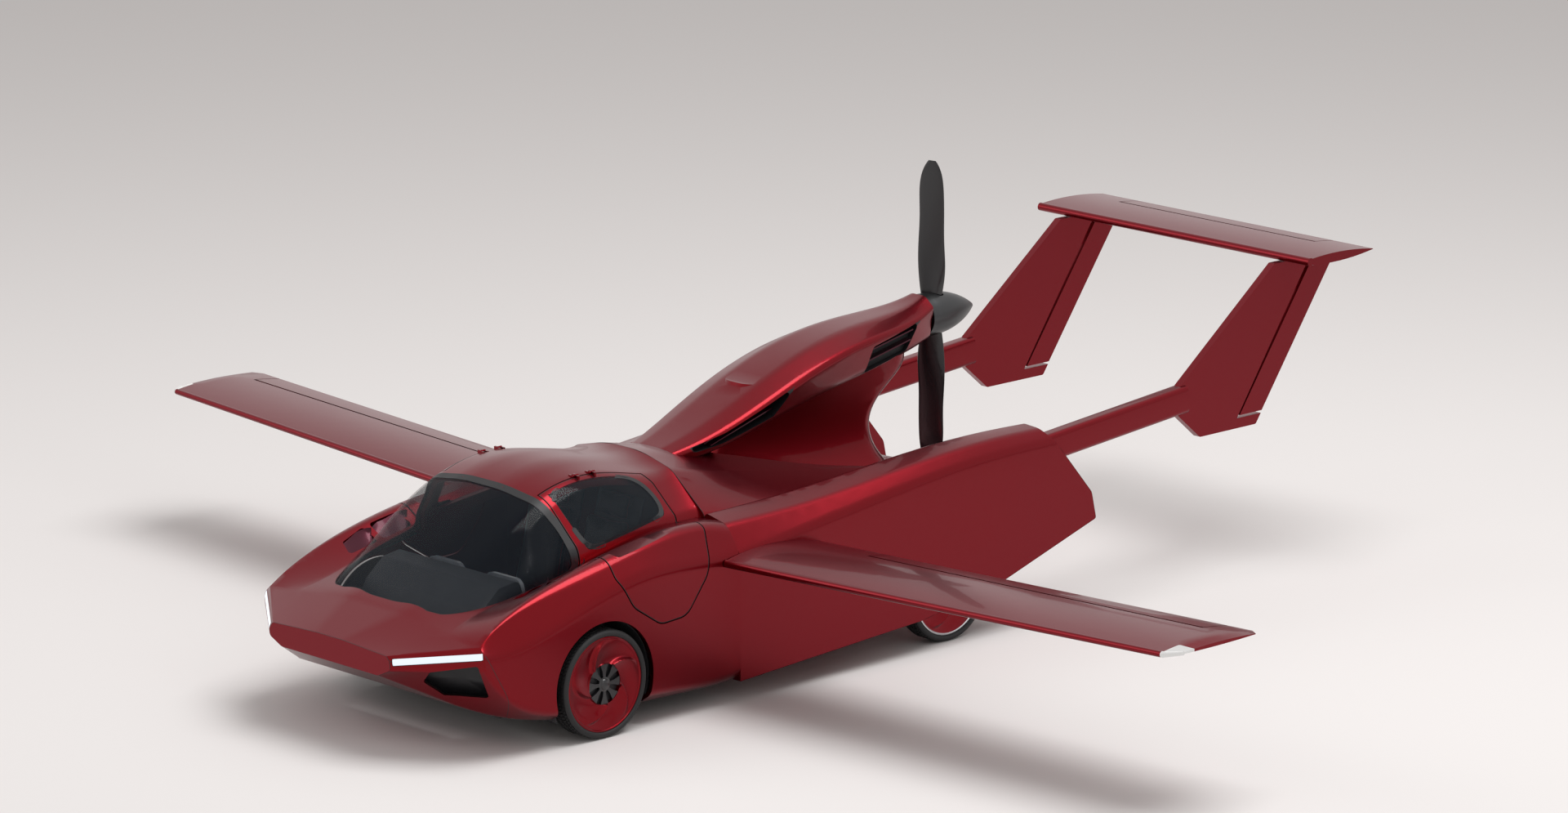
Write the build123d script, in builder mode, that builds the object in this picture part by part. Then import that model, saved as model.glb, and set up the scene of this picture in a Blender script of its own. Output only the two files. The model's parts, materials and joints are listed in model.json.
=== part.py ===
from build123d import *
import math
import os

# A two-seat roadable aircraft: a car body with its wings out, two tail booms that slide
# into the side boxes, a top tailplane and a pusher propeller on a dorsal pod.
# Lengths are millimetres. X is the vehicle's left, Y runs aft and Z is up from the road.
# A station is a distance aft of the nose datum, and aft() turns it into a Y.

os.makedirs("parts", exist_ok=True)

# Overall
nose_station = -30.0
tail_station = 7070.0
origin_station = (nose_station + tail_station) / 2

# Clearances
door_gap = 7.0
running_gap = 0.05
seat_gap = 0.3


def aft(station):
    """Y of a station."""
    return station - origin_station


def across(station):
    """Plane square to the centreline, its own x along +X and its own y along +Z."""
    return Plane.XZ.offset(-aft(station))


def rounded(points, radii):
    """Corner radii, each limited by the two sides that meet there."""
    limited = []
    for index, radius in enumerate(radii):
        here = Vector(*points[index])
        before = Vector(*points[index - 1]) - here
        after = Vector(*points[(index + 1) % len(points)]) - here
        turn = math.radians(180 - before.get_angle(after))
        room = 0.42 * min(before.length, after.length) / math.tan(turn / 2)
        limited.append(min(radius, room))
    return limited


def outline(plane, points, radii):
    """Closed face through points on a plane, with rounded corners."""
    if isinstance(radii, (int, float)):
        radii = [radii] * len(points)
    with BuildSketch(plane) as face:
        with BuildLine():
            FilletPolyline(*points, radius=rounded(points, radii), close=True)
        make_face()
    return face.sketch


def side_outline(x, points, radii):
    """Closed face in side view at x, from (station, height) points."""
    return outline(Plane.YZ.offset(x), [(aft(s), z) for s, z in points], radii)


def plan_outline(z, points, radii):
    """Closed face in plan at height z, from (x, station) points."""
    return outline(Plane.XY.offset(z), [(x, aft(s)) for x, s in points], radii)


def save(builder, name):
    """Label a finished piece and write its file."""
    builder.part.label = name
    export_step(builder.part, f"parts/{name}.step")


def both_sides(builder, name):
    """Write a left-hand piece and its mirror image on the right."""
    save(builder, f"{name}_left")
    with BuildPart() as right:
        mirror(builder.part, about=Plane.YZ)
    save(right, f"{name}_right")


# Car body sections. Columns: station, bottom height, bottom half width, height of the low
# chine, side half width, side height, crest half width, crest height, crest radius, valley
# half width, valley height, centre height
hull_rows = [
    (-30, 455, 400, 500, 500, 545, 470, 575, 12, 300, 583, 592),
    (280, 285, 640, 520, 917, 600, 870, 642, 20, 620, 668, 705),
    (620, 175, 860, 230, 945, 630, 860, 825, 40, 600, 755, 800),
    (1100, 130, 890, 180, 965, 790, 850, 975, 120, 655, 860, 870),
    (1560, 120, 890, 170, 955, 850, 830, 1037, 170, 660, 950, 960),
    (2100, 120, 890, 170, 945, 830, 830, 1000, 120, 640, 985, 990),
]
hull_radii = {"bottom": 40, "low": 60, "side": 160, "valley": 60, "centre": 900}

# Cabin bubble sections. Columns: station, belt half width, belt height, roof edge half
# width, roof edge height, centre height
canopy_rows = [
    (300, 430, 640, 300, 672, 690),
    (600, 590, 770, 400, 900, 945),
    (850, 630, 850, 440, 1075, 1130),
    (1120, 645, 935, 440, 1220, 1272),
    (1500, 642, 1000, 425, 1285, 1330),
    (2100, 640, 1005, 390, 1215, 1275),
]
canopy_foot = 560
canopy_radii = {"foot": 5, "belt": 150, "edge": 190, "centre": 900}

panel_wall = 25.0
cabin_wall = 40.0
glass_wall = 8.0
rear_wall = 30.0
seam_station = 2100.0


flat_share = 0.36


def mirrored_outline(station, half):
    """Section at a station from the (x, height, corner radius) rows of its left half."""
    whole = half + [(-x, z, radius) for x, z, radius in reversed(half)]
    return outline(across(station), [(x, z) for x, z, radius in whole], [radius for x, z, radius in whole])


def hull_section(row, inset):
    """Car body section at one row, moved in by inset."""
    station, bottom, foot_x, low, side_x, side, crest_x, crest, crest_radius, valley_x, valley, centre = row
    half = [
        (foot_x - inset * 0.6, bottom + inset, hull_radii["bottom"]),
        (side_x - inset, low + inset * 0.4, hull_radii["low"]),
        (side_x - inset, side - inset * 0.4, hull_radii["side"]),
        (crest_x - inset * 0.4, crest - inset, crest_radius),
        (valley_x, valley - inset, hull_radii["valley"]),
        (valley_x * flat_share, centre - inset, hull_radii["centre"]),
    ]
    return mirrored_outline(station, half)


def canopy_section(row, inset):
    """Cabin bubble section at one row, moved in by inset."""
    station, belt_x, belt, edge_x, edge, centre = row
    half = [
        (belt_x - inset, canopy_foot, canopy_radii["foot"]),
        (belt_x - inset, belt, canopy_radii["belt"]),
        (edge_x - inset * 0.5, edge - inset, canopy_radii["edge"]),
        (edge_x * flat_share, centre - inset, canopy_radii["centre"]),
    ]
    return mirrored_outline(station, half)


def tail_section(row, inset):
    """Rear fuselage section at one row, moved in by inset."""
    station, half_x, bottom, belt, edge_x, edge, centre = row
    half = [
        (half_x - inset, bottom + inset, 40),
        (half_x - inset, belt - inset, 60),
        (edge_x - inset * 0.5, edge - inset, 160),
        (edge_x * flat_share, centre - inset, 700),
    ]
    return mirrored_outline(station, half)


def hull_solid(inset):
    """Nose wedge and car body as one solid, moved in by inset."""
    with BuildPart() as body:
        loft([hull_section(row, inset) for row in hull_rows[:2]], ruled=True)
        loft([hull_section(row, inset) for row in hull_rows[1:]])
        if inset > 0:
            with Locations((0, aft(nose_station + inset), 0)):
                Box(2400, 4000, 3200, align=(Align.CENTER, Align.MIN, Align.CENTER), mode=Mode.INTERSECT)
    return body.part


def canopy_solid(inset):
    """Cabin bubble as a solid, moved in by inset."""
    with BuildPart() as body:
        loft([canopy_section(row, inset) for row in canopy_rows])
    return body.part


hull_outer = hull_solid(0)
hull_inner = hull_solid(panel_wall)
canopy_outer = canopy_solid(0)
canopy_inner = canopy_solid(cabin_wall)
canopy_glass = canopy_solid(glass_wall)

# Wheels
tyre_radius = 300.0
front_wheel_x = 885.0
front_wheel_station = 1094.0
front_tyre_width = 160.0
rear_wheel_x = 780.0
rear_wheel_station = 3816.0
rear_tyre_width = 140.0
rim_radius = 262.0
arch_radius = 348.0
arch_inner_x = 645.0
well_radius = 335.0
well_inner_x = 665.0
well_outer_x = 895.0

# Door: side-view outline of the opening and of its window, as (station, height)
door_points = [
    (1195, 860), (1190, 980), (1120, 1290), (1180, 1420), (1760, 1420),
    (1905, 1180), (1925, 1000), (1850, 760), (1700, 570), (1500, 560), (1300, 690),
]
door_radii = [60, 30, 40, 20, 40, 60, 60, 120, 120, 120, 160]
window_points = [
    (1255, 950), (1160, 1270), (1240, 1310), (1660, 1310), (1850, 1170), (1880, 1040),
]
window_radii = [40, 60, 60, 80, 80, 40]
door_top_x = 385.0
window_top_x = 415.0
fender_inner_x = 450.0

# Front panels
bonnet_edge = [(520, -100), (560, 395), (575, 630), (600, 800), (600, 1150)]
hoop_points = [(1175, 800), (1150, 1070), (1075, 1240), (1010, 1480)]


def prism(face, length, both=False):
    """Solid of a face pushed out along its normal."""
    with BuildPart() as body:
        extrude(face, amount=length, both=both)
    return body.part


door_block = prism(side_outline(door_top_x, door_points, door_radii), 700)


def grown(points, amount):
    """Side-view points moved away from their middle by amount."""
    mid_s = sum(s for s, z in points) / len(points)
    mid_z = sum(z for s, z in points) / len(points)
    moved = []
    for s, z in points:
        reach = math.hypot(s - mid_s, z - mid_z)
        moved.append((s + (s - mid_s) / reach * amount, z + (z - mid_z) / reach * amount))
    return moved


door_cut = prism(side_outline(door_top_x - door_gap, grown(door_points, door_gap), door_radii), 740)

# Flat cabin floor on the belly pan
floor_low = 140.0
floor_top = 165.0
floor_half = 640.0
floor_front = 620.0
floor_rear = 2095.0

# Regions that share out the car body's skin
front_of_hoop = prism(
    side_outline(-900, [(-100, 400), *hoop_points, (-100, 1480)], 0), 1800)
bonnet_region = prism(
    plan_outline(500, bonnet_edge + [(-x, s) for x, s in reversed(bonnet_edge)], 0), 900)
bumper_region = prism(
    side_outline(-1000, [(-100, 20), (-100, 540), (-30, 550), (285, 605), (470, 270), (560, 100)], 0),
    2000)
belly_region = prism(
    plan_outline(0, [(860, 480), (860, 2200), (-860, 2200), (-860, 480)], 0), 165)

# Skin of the car body, open under the bubble
with BuildPart() as body_skin:
    add(hull_outer)
    add(hull_inner, mode=Mode.SUBTRACT)
    add(canopy_outer, mode=Mode.SUBTRACT)

with BuildPart() as arches:
    for side in (1, -1):
        with BuildSketch(Plane.YZ.offset(side * arch_inner_x)):
            with Locations((aft(front_wheel_station), tyre_radius)):
                Circle(arch_radius)
        extrude(amount=side * 500)

# Headlamp strips along the nose corners, as (x, station, height)
lamp_start = (512, -22, 546)
lamp_end = (904, 270, 598)
lamp_height = 34.0
lamp_depth = 46.0
lamp_run = Vector(lamp_end[0] - lamp_start[0], lamp_end[1] - lamp_start[1], lamp_end[2] - lamp_start[2])
with BuildPart() as lamp_block:
    lamp_origin = (lamp_start[0], aft(lamp_start[1]), lamp_start[2])
    with BuildSketch(Plane(origin=lamp_origin, x_dir=(lamp_run.Y, -lamp_run.X, 0), z_dir=lamp_run)):
        Rectangle(2 * lamp_depth, lamp_height)
    extrude(amount=lamp_run.length)
with BuildPart() as lamp_pair:
    add(lamp_block.part)
    mirror(lamp_block.part, about=Plane.YZ)
with BuildPart() as headlamps:
    add(hull_outer)
    add(lamp_pair.part, mode=Mode.INTERSECT)
save(headlamps, "headlamps")

with BuildPart() as bonnet:
    add(body_skin.part)
    add(lamp_pair.part, mode=Mode.SUBTRACT)
    add(bonnet_region, mode=Mode.INTERSECT)
    add(bumper_region, mode=Mode.SUBTRACT)
save(bonnet, "bonnet")

# Corner intakes, as (distance along the lamp, height), cut square to the lamp
intake_points = [(150, 430), (200, 500), (465, 548), (500, 345), (250, 345)]
intake_depth = 220.0
with BuildPart() as corner_intakes:
    lamp_normal = Vector(-lamp_run.Y, lamp_run.X, 0)
    face = outline(
        Plane(origin=(lamp_start[0], aft(lamp_start[1]), 0), x_dir=(lamp_run.X, lamp_run.Y, 0), z_dir=-lamp_normal),
        intake_points, 18)
    extrude(face, amount=intake_depth, both=True)
    mirror(corner_intakes.part, about=Plane.YZ)

with BuildPart() as front_bumper:
    add(body_skin.part)
    add(bumper_region, mode=Mode.INTERSECT)
    add(lamp_pair.part, mode=Mode.SUBTRACT)
    add(corner_intakes.part, mode=Mode.SUBTRACT)
    add(arches.part, mode=Mode.SUBTRACT)
save(front_bumper, "front_bumper")

# Jack pads with a blind pin hole. Columns: x, station
pad_radius = 45.0
pad_low = 92.0
pad_hole_radius = 9.0
pad_hole_depth = 15.0
front_pads = [(560, 1750), (-560, 1750)]
rear_pads = [(480, 2800), (-480, 2800)]


def jack_pads(places, top, radius, low):
    """Upright discs from a height up to a panel."""
    with BuildPart() as pads:
        with BuildSketch(Plane.XY.offset(low)):
            with Locations([(x, aft(station)) for x, station in places]):
                Circle(radius)
        extrude(amount=top - low)
    return pads.part


with BuildPart() as belly_pan:
    add(body_skin.part)
    add(belly_region, mode=Mode.INTERSECT)
    add(bumper_region, mode=Mode.SUBTRACT)
    with BuildSketch(Plane.XY.offset(floor_low)):
        with Locations((0, aft((floor_front + floor_rear) / 2))):
            Rectangle(2 * floor_half, floor_rear - floor_front)
    extrude(amount=floor_top - floor_low)
    add(jack_pads(front_pads, floor_top - 5, pad_radius, pad_low))
    add(jack_pads(front_pads, pad_low + pad_hole_depth, pad_hole_radius, pad_low), mode=Mode.SUBTRACT)
    add(arches.part, mode=Mode.SUBTRACT)
save(belly_pan, "belly_pan")

# Louvre openings in the fender tops, as (x, station)
louvre_openings = [
    [(665, 680), (770, 715), (790, 880), (662, 880)],
    [(662, 920), (790, 920), (775, 1105), (668, 1140)],
]
with BuildPart() as fender_left:
    add(body_skin.part)
    with Locations((fender_inner_x, 0, 0)):
        Box(1200, 9000, 3000, align=(Align.MIN, Align.CENTER, Align.CENTER), mode=Mode.INTERSECT)
    for region in (bonnet_region, bumper_region, belly_region, lamp_pair.part, arches.part, door_cut):
        add(region, mode=Mode.SUBTRACT)
    for points in louvre_openings:
        add(prism(plan_outline(690, points, 20), 500), mode=Mode.SUBTRACT)
both_sides(fender_left, "fender")


# Wheels: one row for each wheel
wheel_rows = [
    ("front_left", 1, front_wheel_x, front_wheel_station, front_tyre_width),
    ("front_right", -1, front_wheel_x, front_wheel_station, front_tyre_width),
    ("rear_left", 1, rear_wheel_x, rear_wheel_station, rear_tyre_width),
    ("rear_right", -1, rear_wheel_x, rear_wheel_station, rear_tyre_width),
]
rim_wall = 9.0
disc_face = 14.0
disc_set_in = 12.0
spoke_count = 5
spoke_height = 10.0
hub_radius = 62.0
hub_bore_radius = 21.0
hub_length = 70.0
axle_radius = hub_bore_radius - running_gap


def wheel_plane(side, x, station):
    """Plane of a wheel's middle, with its normal pointing away from the car."""
    return Plane(origin=(side * x, aft(station), tyre_radius), x_dir=(0, 1, 0), z_dir=(side, 0, 0))


for name, side, x, station, width in wheel_rows:
    plane = wheel_plane(side, x, station)
    half = width / 2
    bead = rim_radius
    lathe = Plane(origin=plane.origin, x_dir=(0, 0, 1), z_dir=(0, side, 0))
    axis = Axis(plane.origin, plane.z_dir)

    with BuildPart() as tyre:
        with BuildSketch(lathe):
            with BuildLine():
                FilletPolyline(
                    (rim_radius, -half), (tyre_radius - 8, -half), (tyre_radius, -half * 0.6),
                    (tyre_radius, half * 0.6), (tyre_radius - 8, half), (rim_radius, half),
                    radius=[12, 40, 40, 12])
                Line((rim_radius, half), (rim_radius, -half))
            make_face()
        revolve(axis=axis)
    save(tyre, f"tyre_{name}")

    face_at = half - disc_set_in
    with BuildPart() as rim:
        with BuildSketch(lathe):
            Polygon(
                (0, face_at - disc_face), (bead - 30, face_at - disc_face), (bead - rim_wall, face_at - 30),
                (bead - rim_wall, -half + 6), (bead, -half + 6), (bead, half - 4),
                (bead - rim_wall, half - 4), (bead - 24, face_at), (hub_radius, face_at),
                (hub_radius - 12, face_at - 5), (0, face_at - 5), align=None)
        revolve(axis=axis)
        with BuildSketch(plane.offset(face_at - disc_face - hub_length)):
            Circle(hub_radius * 0.7)
        extrude(amount=hub_length)
        with BuildSketch(plane.offset(face_at - 1)):
            for index in range(spoke_count):
                turn = 360 / spoke_count * index
                with Locations(Rotation(0, 0, turn)):
                    Polygon((0, 70), (26, 66), (46, 150), (10, 228), (-4, 150), align=None)
        extrude(amount=spoke_height)
        with BuildSketch(plane.offset(face_at - disc_face - hub_length)):
            Circle(hub_bore_radius)
        extrude(amount=hub_length, mode=Mode.SUBTRACT)
    save(rim, f"rim_{name}")

# Front uprights, turned by the steering about an upright pin
kingpin_x = 820.0
pin_radius = 12.0
upright_width = 50.0
upright_depth = 60.0
upright_height = 200.0
eye_height = 24.0
eye_offset = 20.0
eye_radius = 27.0
front_hub_face = front_wheel_x + front_tyre_width / 2 - disc_set_in - disc_face
rear_hub_face = rear_wheel_x + rear_tyre_width / 2 - disc_set_in - disc_face
axle_end_gap = 4.0

with BuildPart() as knuckle_left:
    with Locations((kingpin_x, aft(front_wheel_station), tyre_radius)):
        Box(upright_width, upright_depth, upright_height)
        Cylinder(pin_radius, upright_height + 2 * (eye_offset + eye_height))
    with BuildSketch(Plane.YZ.offset(kingpin_x)):
        with Locations((aft(front_wheel_station), tyre_radius)):
            Circle(axle_radius)
    extrude(amount=front_hub_face - axle_end_gap - kingpin_x)
both_sides(knuckle_left, "knuckle")

# Wishbones and their towers on the cabin floor
tower_x = 560.0
tower_wall = 40.0
tower_length = 320.0
arm_half_width = 13.0
arm_spread = 130.0

with BuildPart() as front_suspension:
    for side in (1, -1):
        for level in (-1, 1):
            eye_z = tyre_radius + level * (upright_height / 2 + eye_offset) - eye_height / 2
            with BuildSketch(Plane.XY.offset(eye_z)):
                for lean in (-1, 1):
                    with BuildLine():
                        Polyline(
                            (side * tower_x, aft(front_wheel_station) + lean * (arm_spread - arm_half_width)),
                            (side * tower_x, aft(front_wheel_station) + lean * (arm_spread + arm_half_width)),
                            (side * kingpin_x, aft(front_wheel_station) + lean * arm_half_width * 1.6),
                            (side * kingpin_x, aft(front_wheel_station) - lean * 2), close=True)
                    make_face()
                with Locations((side * kingpin_x, aft(front_wheel_station))):
                    Circle(eye_radius)
                    Circle(pin_radius + seat_gap, mode=Mode.SUBTRACT)
            extrude(amount=eye_height)
        with Locations((side * tower_x, aft(front_wheel_station), floor_top)):
            Box(tower_wall, tower_length, tyre_radius + upright_height / 2 + 60 - floor_top,
                align=(Align.CENTER, Align.CENTER, Align.MIN))
save(front_suspension, "front_suspension")

with BuildPart() as rear_suspension:
    for side in (1, -1):
        with BuildSketch(Plane.YZ.offset(side * well_inner_x)):
            with Locations((aft(rear_wheel_station), tyre_radius)):
                Circle(78)
        extrude(amount=side * 24)
        with BuildSketch(Plane.YZ.offset(side * well_inner_x)):
            with Locations((aft(rear_wheel_station), tyre_radius)):
                Circle(axle_radius)
        extrude(amount=side * (rear_hub_face - axle_end_gap - well_inner_x))
save(rear_suspension, "rear_suspension")

# Side boxes between the wings and the booms. Columns: station, inner x, inner top height,
# crest x, crest height, shoulder height
box_outer_x = 945.0
box_inner_front = 660.0
box_inner_rear = 760.0
box_rows = [
    (2100, 1020, 830, 985, 830),
    (2720, 1050, 850, 1010, 910),
    (3350, 1105, 865, 1070, 990),
    (4000, 1145, 875, 1125, 1050),
    (4520, 1140, 875, 1128, 1062),
    (4920, 1135, 875, 1125, 1060),
]
box_end = 4920.0
box_side = [(2100, 118), (3500, 198), (4150, 311), (4900, 545), (4862, 706), (4390, 1250), (2100, 1250)]
box_side_radii = [0, 400, 250, 14, 60, 0, 0]


def box_inner(station):
    """Inner face of a side box at a station."""
    share = (station - seam_station) / (box_end - seam_station)
    return box_inner_front + share * (box_inner_rear - box_inner_front)


# Booms slide forward and down along this line
boom_x = 870.0
boom_slope = 5.0
boom_width = 100.0
boom_height = 165.0
boom_ref_station = 4520.0
boom_ref_z = 1003.0
boom_inside = 420.0
boom_reach = 1180.0
slide_travel = 950.0
channel_gap = 5.0
runner_width = 40.0
runner_length = 150.0
runner_start = 160.0


def boom_point(distance):
    """Point on the boom's middle line, a distance aft of the box mouth."""
    lean = math.radians(boom_slope)
    return (boom_x, aft(boom_ref_station) + distance * math.cos(lean), boom_ref_z + distance * math.sin(lean))


def boom_plane(distance):
    """Plane square to the boom, its own x along +X."""
    lean = math.radians(boom_slope)
    return Plane(origin=boom_point(distance), x_dir=(1, 0, 0), z_dir=(0, math.cos(lean), math.sin(lean)))


def wheel_well(side):
    """Space for a rear wheel, open below and outwards as far as the box skin."""
    with BuildPart() as well:
        with BuildSketch(Plane.YZ.offset(side * well_inner_x)):
            with Locations((aft(rear_wheel_station), tyre_radius)):
                Circle(well_radius)
            with Locations((aft(rear_wheel_station), tyre_radius - well_radius / 2)):
                Rectangle(2 * well_radius, well_radius)
        extrude(amount=side * (well_outer_x - well_inner_x))
    return well.part


with BuildPart() as side_box_left:
    loft([
        outline(
            across(station),
            [(box_inner(station), 90), (box_outer_x, 90), (box_outer_x, shoulder),
             (crest_x, crest), (box_inner(station), top)],
            [0, 0, 90, 70, 25])
        for station, top, crest_x, crest, shoulder in box_rows])
    with BuildSketch(Plane.YZ.offset(600)):
        with BuildLine():
            FilletPolyline(*[(aft(s), z) for s, z in box_side],
                           radius=rounded([(aft(s), z) for s, z in box_side], box_side_radii), close=True)
        make_face()
    extrude(amount=500, mode=Mode.INTERSECT)
    add(wheel_well(1), mode=Mode.SUBTRACT)
    with BuildSketch(boom_plane(400)):
        RectangleRounded(boom_width + 2 * channel_gap, boom_height + 2 * channel_gap, 30 + channel_gap)
    extrude(amount=-(400 + boom_inside + slide_travel + 20), mode=Mode.SUBTRACT)
    with BuildSketch(boom_plane(-runner_start)):
        for low in (boom_height / 2 + running_gap, -boom_height / 2 - channel_gap - 2):
            with Locations((0, low)):
                Rectangle(runner_width, channel_gap + 2 - running_gap, align=(Align.CENTER, Align.MIN))
    extrude(amount=-runner_length)
both_sides(side_box_left, "side_box")


def tail_solid(inset):
    """Rear fuselage as a solid, moved in by inset."""
    with BuildPart() as body:
        loft([tail_section(row, inset) for row in rear_rows])
    return body.part


# Rear fuselage sections. Columns: station, half width, bottom height, belt height, top edge
# half width, top edge height, centre height
rear_rows = [
    (2100, box_inner(2100), 120, 1005, 390, 1215, 1275),
    (2600, box_inner(2600), 140, 960, 330, 1110, 1180),
    (3300, box_inner(3300), 190, 925, 230, 985, 1005),
    (4300, box_inner(4300), 430, 800, 230, 815, 820),
]
rear_outer = tail_solid(0)
engine_size = (560.0, 650.0, 420.0)
engine_station = 3250.0
engine_base = 290.0
bearer_x = 200.0

well_liner = 35.0
bearer_width = 60.0
rear_length = rear_rows[-1][0] - rear_rows[0][0]

# Void of the rear fuselage, short of its ends, wheel wells and engine bearers
with BuildPart() as rear_void:
    add(tail_solid(rear_wall))
    with Locations((0, aft(seam_station) + rear_length / 2, 0)):
        Box(2400, rear_length - 2 * rear_wall, 3200, mode=Mode.INTERSECT)
    for side in (1, -1):
        with Locations((side * (well_inner_x - well_liner), aft(rear_wheel_station), 0)):
            Box(400, 2 * (well_radius + well_liner), 2 * (tyre_radius + well_radius + well_liner),
                align=(Align.MIN if side > 0 else Align.MAX, Align.CENTER, Align.CENTER), mode=Mode.SUBTRACT)
        with Locations((side * bearer_x, aft(engine_station), 0)):
            Box(bearer_width, engine_size[1] + bearer_width, engine_base, mode=Mode.SUBTRACT,
                align=(Align.CENTER, Align.CENTER, Align.MIN))


with BuildPart() as rear_fuselage:
    add(rear_outer)
    add(rear_void.part, mode=Mode.SUBTRACT)
    for side in (1, -1):
        add(wheel_well(side), mode=Mode.SUBTRACT)
    add(jack_pads(rear_pads, 170, pad_radius, pad_low))
    add(jack_pads(rear_pads, pad_low + pad_hole_depth, pad_hole_radius, pad_low), mode=Mode.SUBTRACT)
save(rear_fuselage, "rear_fuselage")

with BuildPart() as engine_block:
    with Locations((0, aft(engine_station), engine_base)):
        Box(*engine_size, align=(Align.CENTER, Align.CENTER, Align.MIN))
    fillet(engine_block.edges().filter_by(Axis.Z), 30)
save(engine_block, "engine_block")

pod_end = 4390.0
shaft_length = 110.0
# Pod sections. Columns: station, top height, bottom height, half width
pod_rows = [
    (2230, 1222, 1150, 170),
    (2640, 1355, 1190, 270),
    (2980, 1500, 1270, 300),
    (3350, 1635, 1350, 290),
    (3900, 1722, 1440, 235),
    (pod_end, 1783, 1530, 128),
]
# Pylon sections. Columns: height, half width, front station, rear station
pylon_rows = [
    (800, 270, 2450, 4150),
    (930, 160, 2520, 4015),
    (1130, 105, 2620, 3950),
    (1300, 112, 2750, 4060),
    (1500, 160, 2950, 4200),
]
# Side openings of the pod: where the pocket starts from the middle, and its side view
pod_openings = [
    (140, [(2420, 1245), (2640, 1302), (2980, 1432), (3140, 1492), (3010, 1335), (2640, 1238), (2450, 1215)]),
    (125, [(3810, 1605), (4240, 1680), (4140, 1515), (3770, 1440)]),
]
prop_z = 1655.0
prop_station = 4500.0
shaft_radius = 30.0

with BuildPart() as pylon_pod:
    loft([
        outline(
            across(station),
            [(half * 0.75, low), (half, low + (top - low) * 0.78), (half * 0.45, top), (-half * 0.45, top),
             (-half, low + (top - low) * 0.78), (-half * 0.75, low)],
            [half * 0.4, half * 0.15, half * 0.6, half * 0.6, half * 0.15, half * 0.4])
        for station, top, low, half in pod_rows])
    loft([
        plan_outline(z, [(half, front), (half, rear), (-half, rear), (-half, front)], half * 0.9)
        for z, half, front, rear in pylon_rows])
    add(rear_outer, mode=Mode.SUBTRACT)
    for side in (1, -1):
        for start, points in pod_openings:
            add(prism(side_outline(side * start, points, 25), side * 300), mode=Mode.SUBTRACT)
    with BuildSketch(Plane.XZ.offset(-aft(pod_end))):
        with Locations((0, prop_z)):
            Circle(shaft_radius + running_gap)
    extrude(amount=shaft_length, mode=Mode.SUBTRACT)
save(pylon_pod, "pylon_pod")

# Propeller
prop_radius = 895.0
spinner_radius = 125.0
spinner_front = 4402.0
spinner_tip = 4835.0
blade_root = 70.0
hub_half = 55.0
# Columns: distance from the hub, chord, thickness, pitch
blade_rows = [
    (100, 120, 45, 40),
    (300, 165, 26, 26),
    (600, 160, 16, 17),
    (860, 100, 9, 12),
    (prop_radius, 50, 6, 10),
]
with BuildPart() as propeller:
    with BuildSketch(Plane.XZ.offset(-aft(prop_station - hub_half))):
        with Locations((0, prop_z)):
            Circle(blade_root)
    extrude(amount=-2 * hub_half)
    with BuildSketch(Plane.XZ.offset(-aft(prop_station - hub_half))):
        with Locations((0, prop_z)):
            Circle(shaft_radius)
    extrude(amount=prop_station - hub_half - pod_end + shaft_length - axle_end_gap)
    for turn in (0, 180):
        sections = []
        for distance, chord, thick, pitch in [(30, 100, 50, 45)] + blade_rows:
            plane = Plane(origin=(0, aft(prop_station), prop_z), x_dir=(1, 0, 0), z_dir=(0, 0, 1))
            plane = plane.rotated((0, turn, 0)).offset(distance).rotated((0, 0, pitch))
            with BuildSketch(plane) as blade_face:
                Ellipse(chord / 2, thick / 2)
            sections.append(blade_face.sketch)
        loft(sections)
save(propeller, "propeller")

blade_slot = (138.0, 62.0)
with BuildPart() as spinner:
    with BuildSketch(Plane.YZ):
        with BuildLine():
            Polyline(
                (aft(spinner_tip), prop_z), (aft(spinner_front), prop_z),
                (aft(spinner_front), prop_z + spinner_radius), (aft(spinner_front) + 30, prop_z + spinner_radius))
            ThreePointArc(
                (aft(spinner_front) + 30, prop_z + spinner_radius),
                (aft(spinner_front) + 270, prop_z + spinner_radius * 0.74),
                (aft(spinner_tip) - 12, prop_z + 14))
            Line((aft(spinner_tip) - 12, prop_z + 14), (aft(spinner_tip), prop_z))
        make_face()
    revolve(axis=Axis((0, 0, prop_z), (0, 1, 0)))
    with BuildSketch(Plane.XZ.offset(-aft(spinner_front))):
        with Locations((0, prop_z)):
            Circle(blade_root)
    extrude(amount=-(prop_station + hub_half - spinner_front), mode=Mode.SUBTRACT)
    with BuildSketch(Plane.XY.offset(prop_z)):
        with Locations((0, aft(prop_station))):
            SlotOverall(*blade_slot, rotation=blade_rows[0][3])
    extrude(amount=2 * spinner_radius, both=True, mode=Mode.SUBTRACT)
save(spinner, "spinner")

# Wings. Columns: x, leading-edge station, chord, height, thickness
wing_rows = [
    (box_outer_x, 1975, 735, 800, 92),
    (4040, 2150, 690, 880, 56),
]
wing_tip = (4100, 2240, 560, 884, 20)
hinge_share = 0.72
aileron_inner = 1500.0
aileron_outer = 3880.0
aileron_gap = 8.0
hinge_setback = 9.0


def wing_at(x):
    """Wing row at x, along the straight taper."""
    share = (x - wing_rows[0][0]) / (wing_rows[1][0] - wing_rows[0][0])
    return [x] + [a + share * (b - a) for a, b in zip(wing_rows[0][1:], wing_rows[1][1:])]


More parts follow.
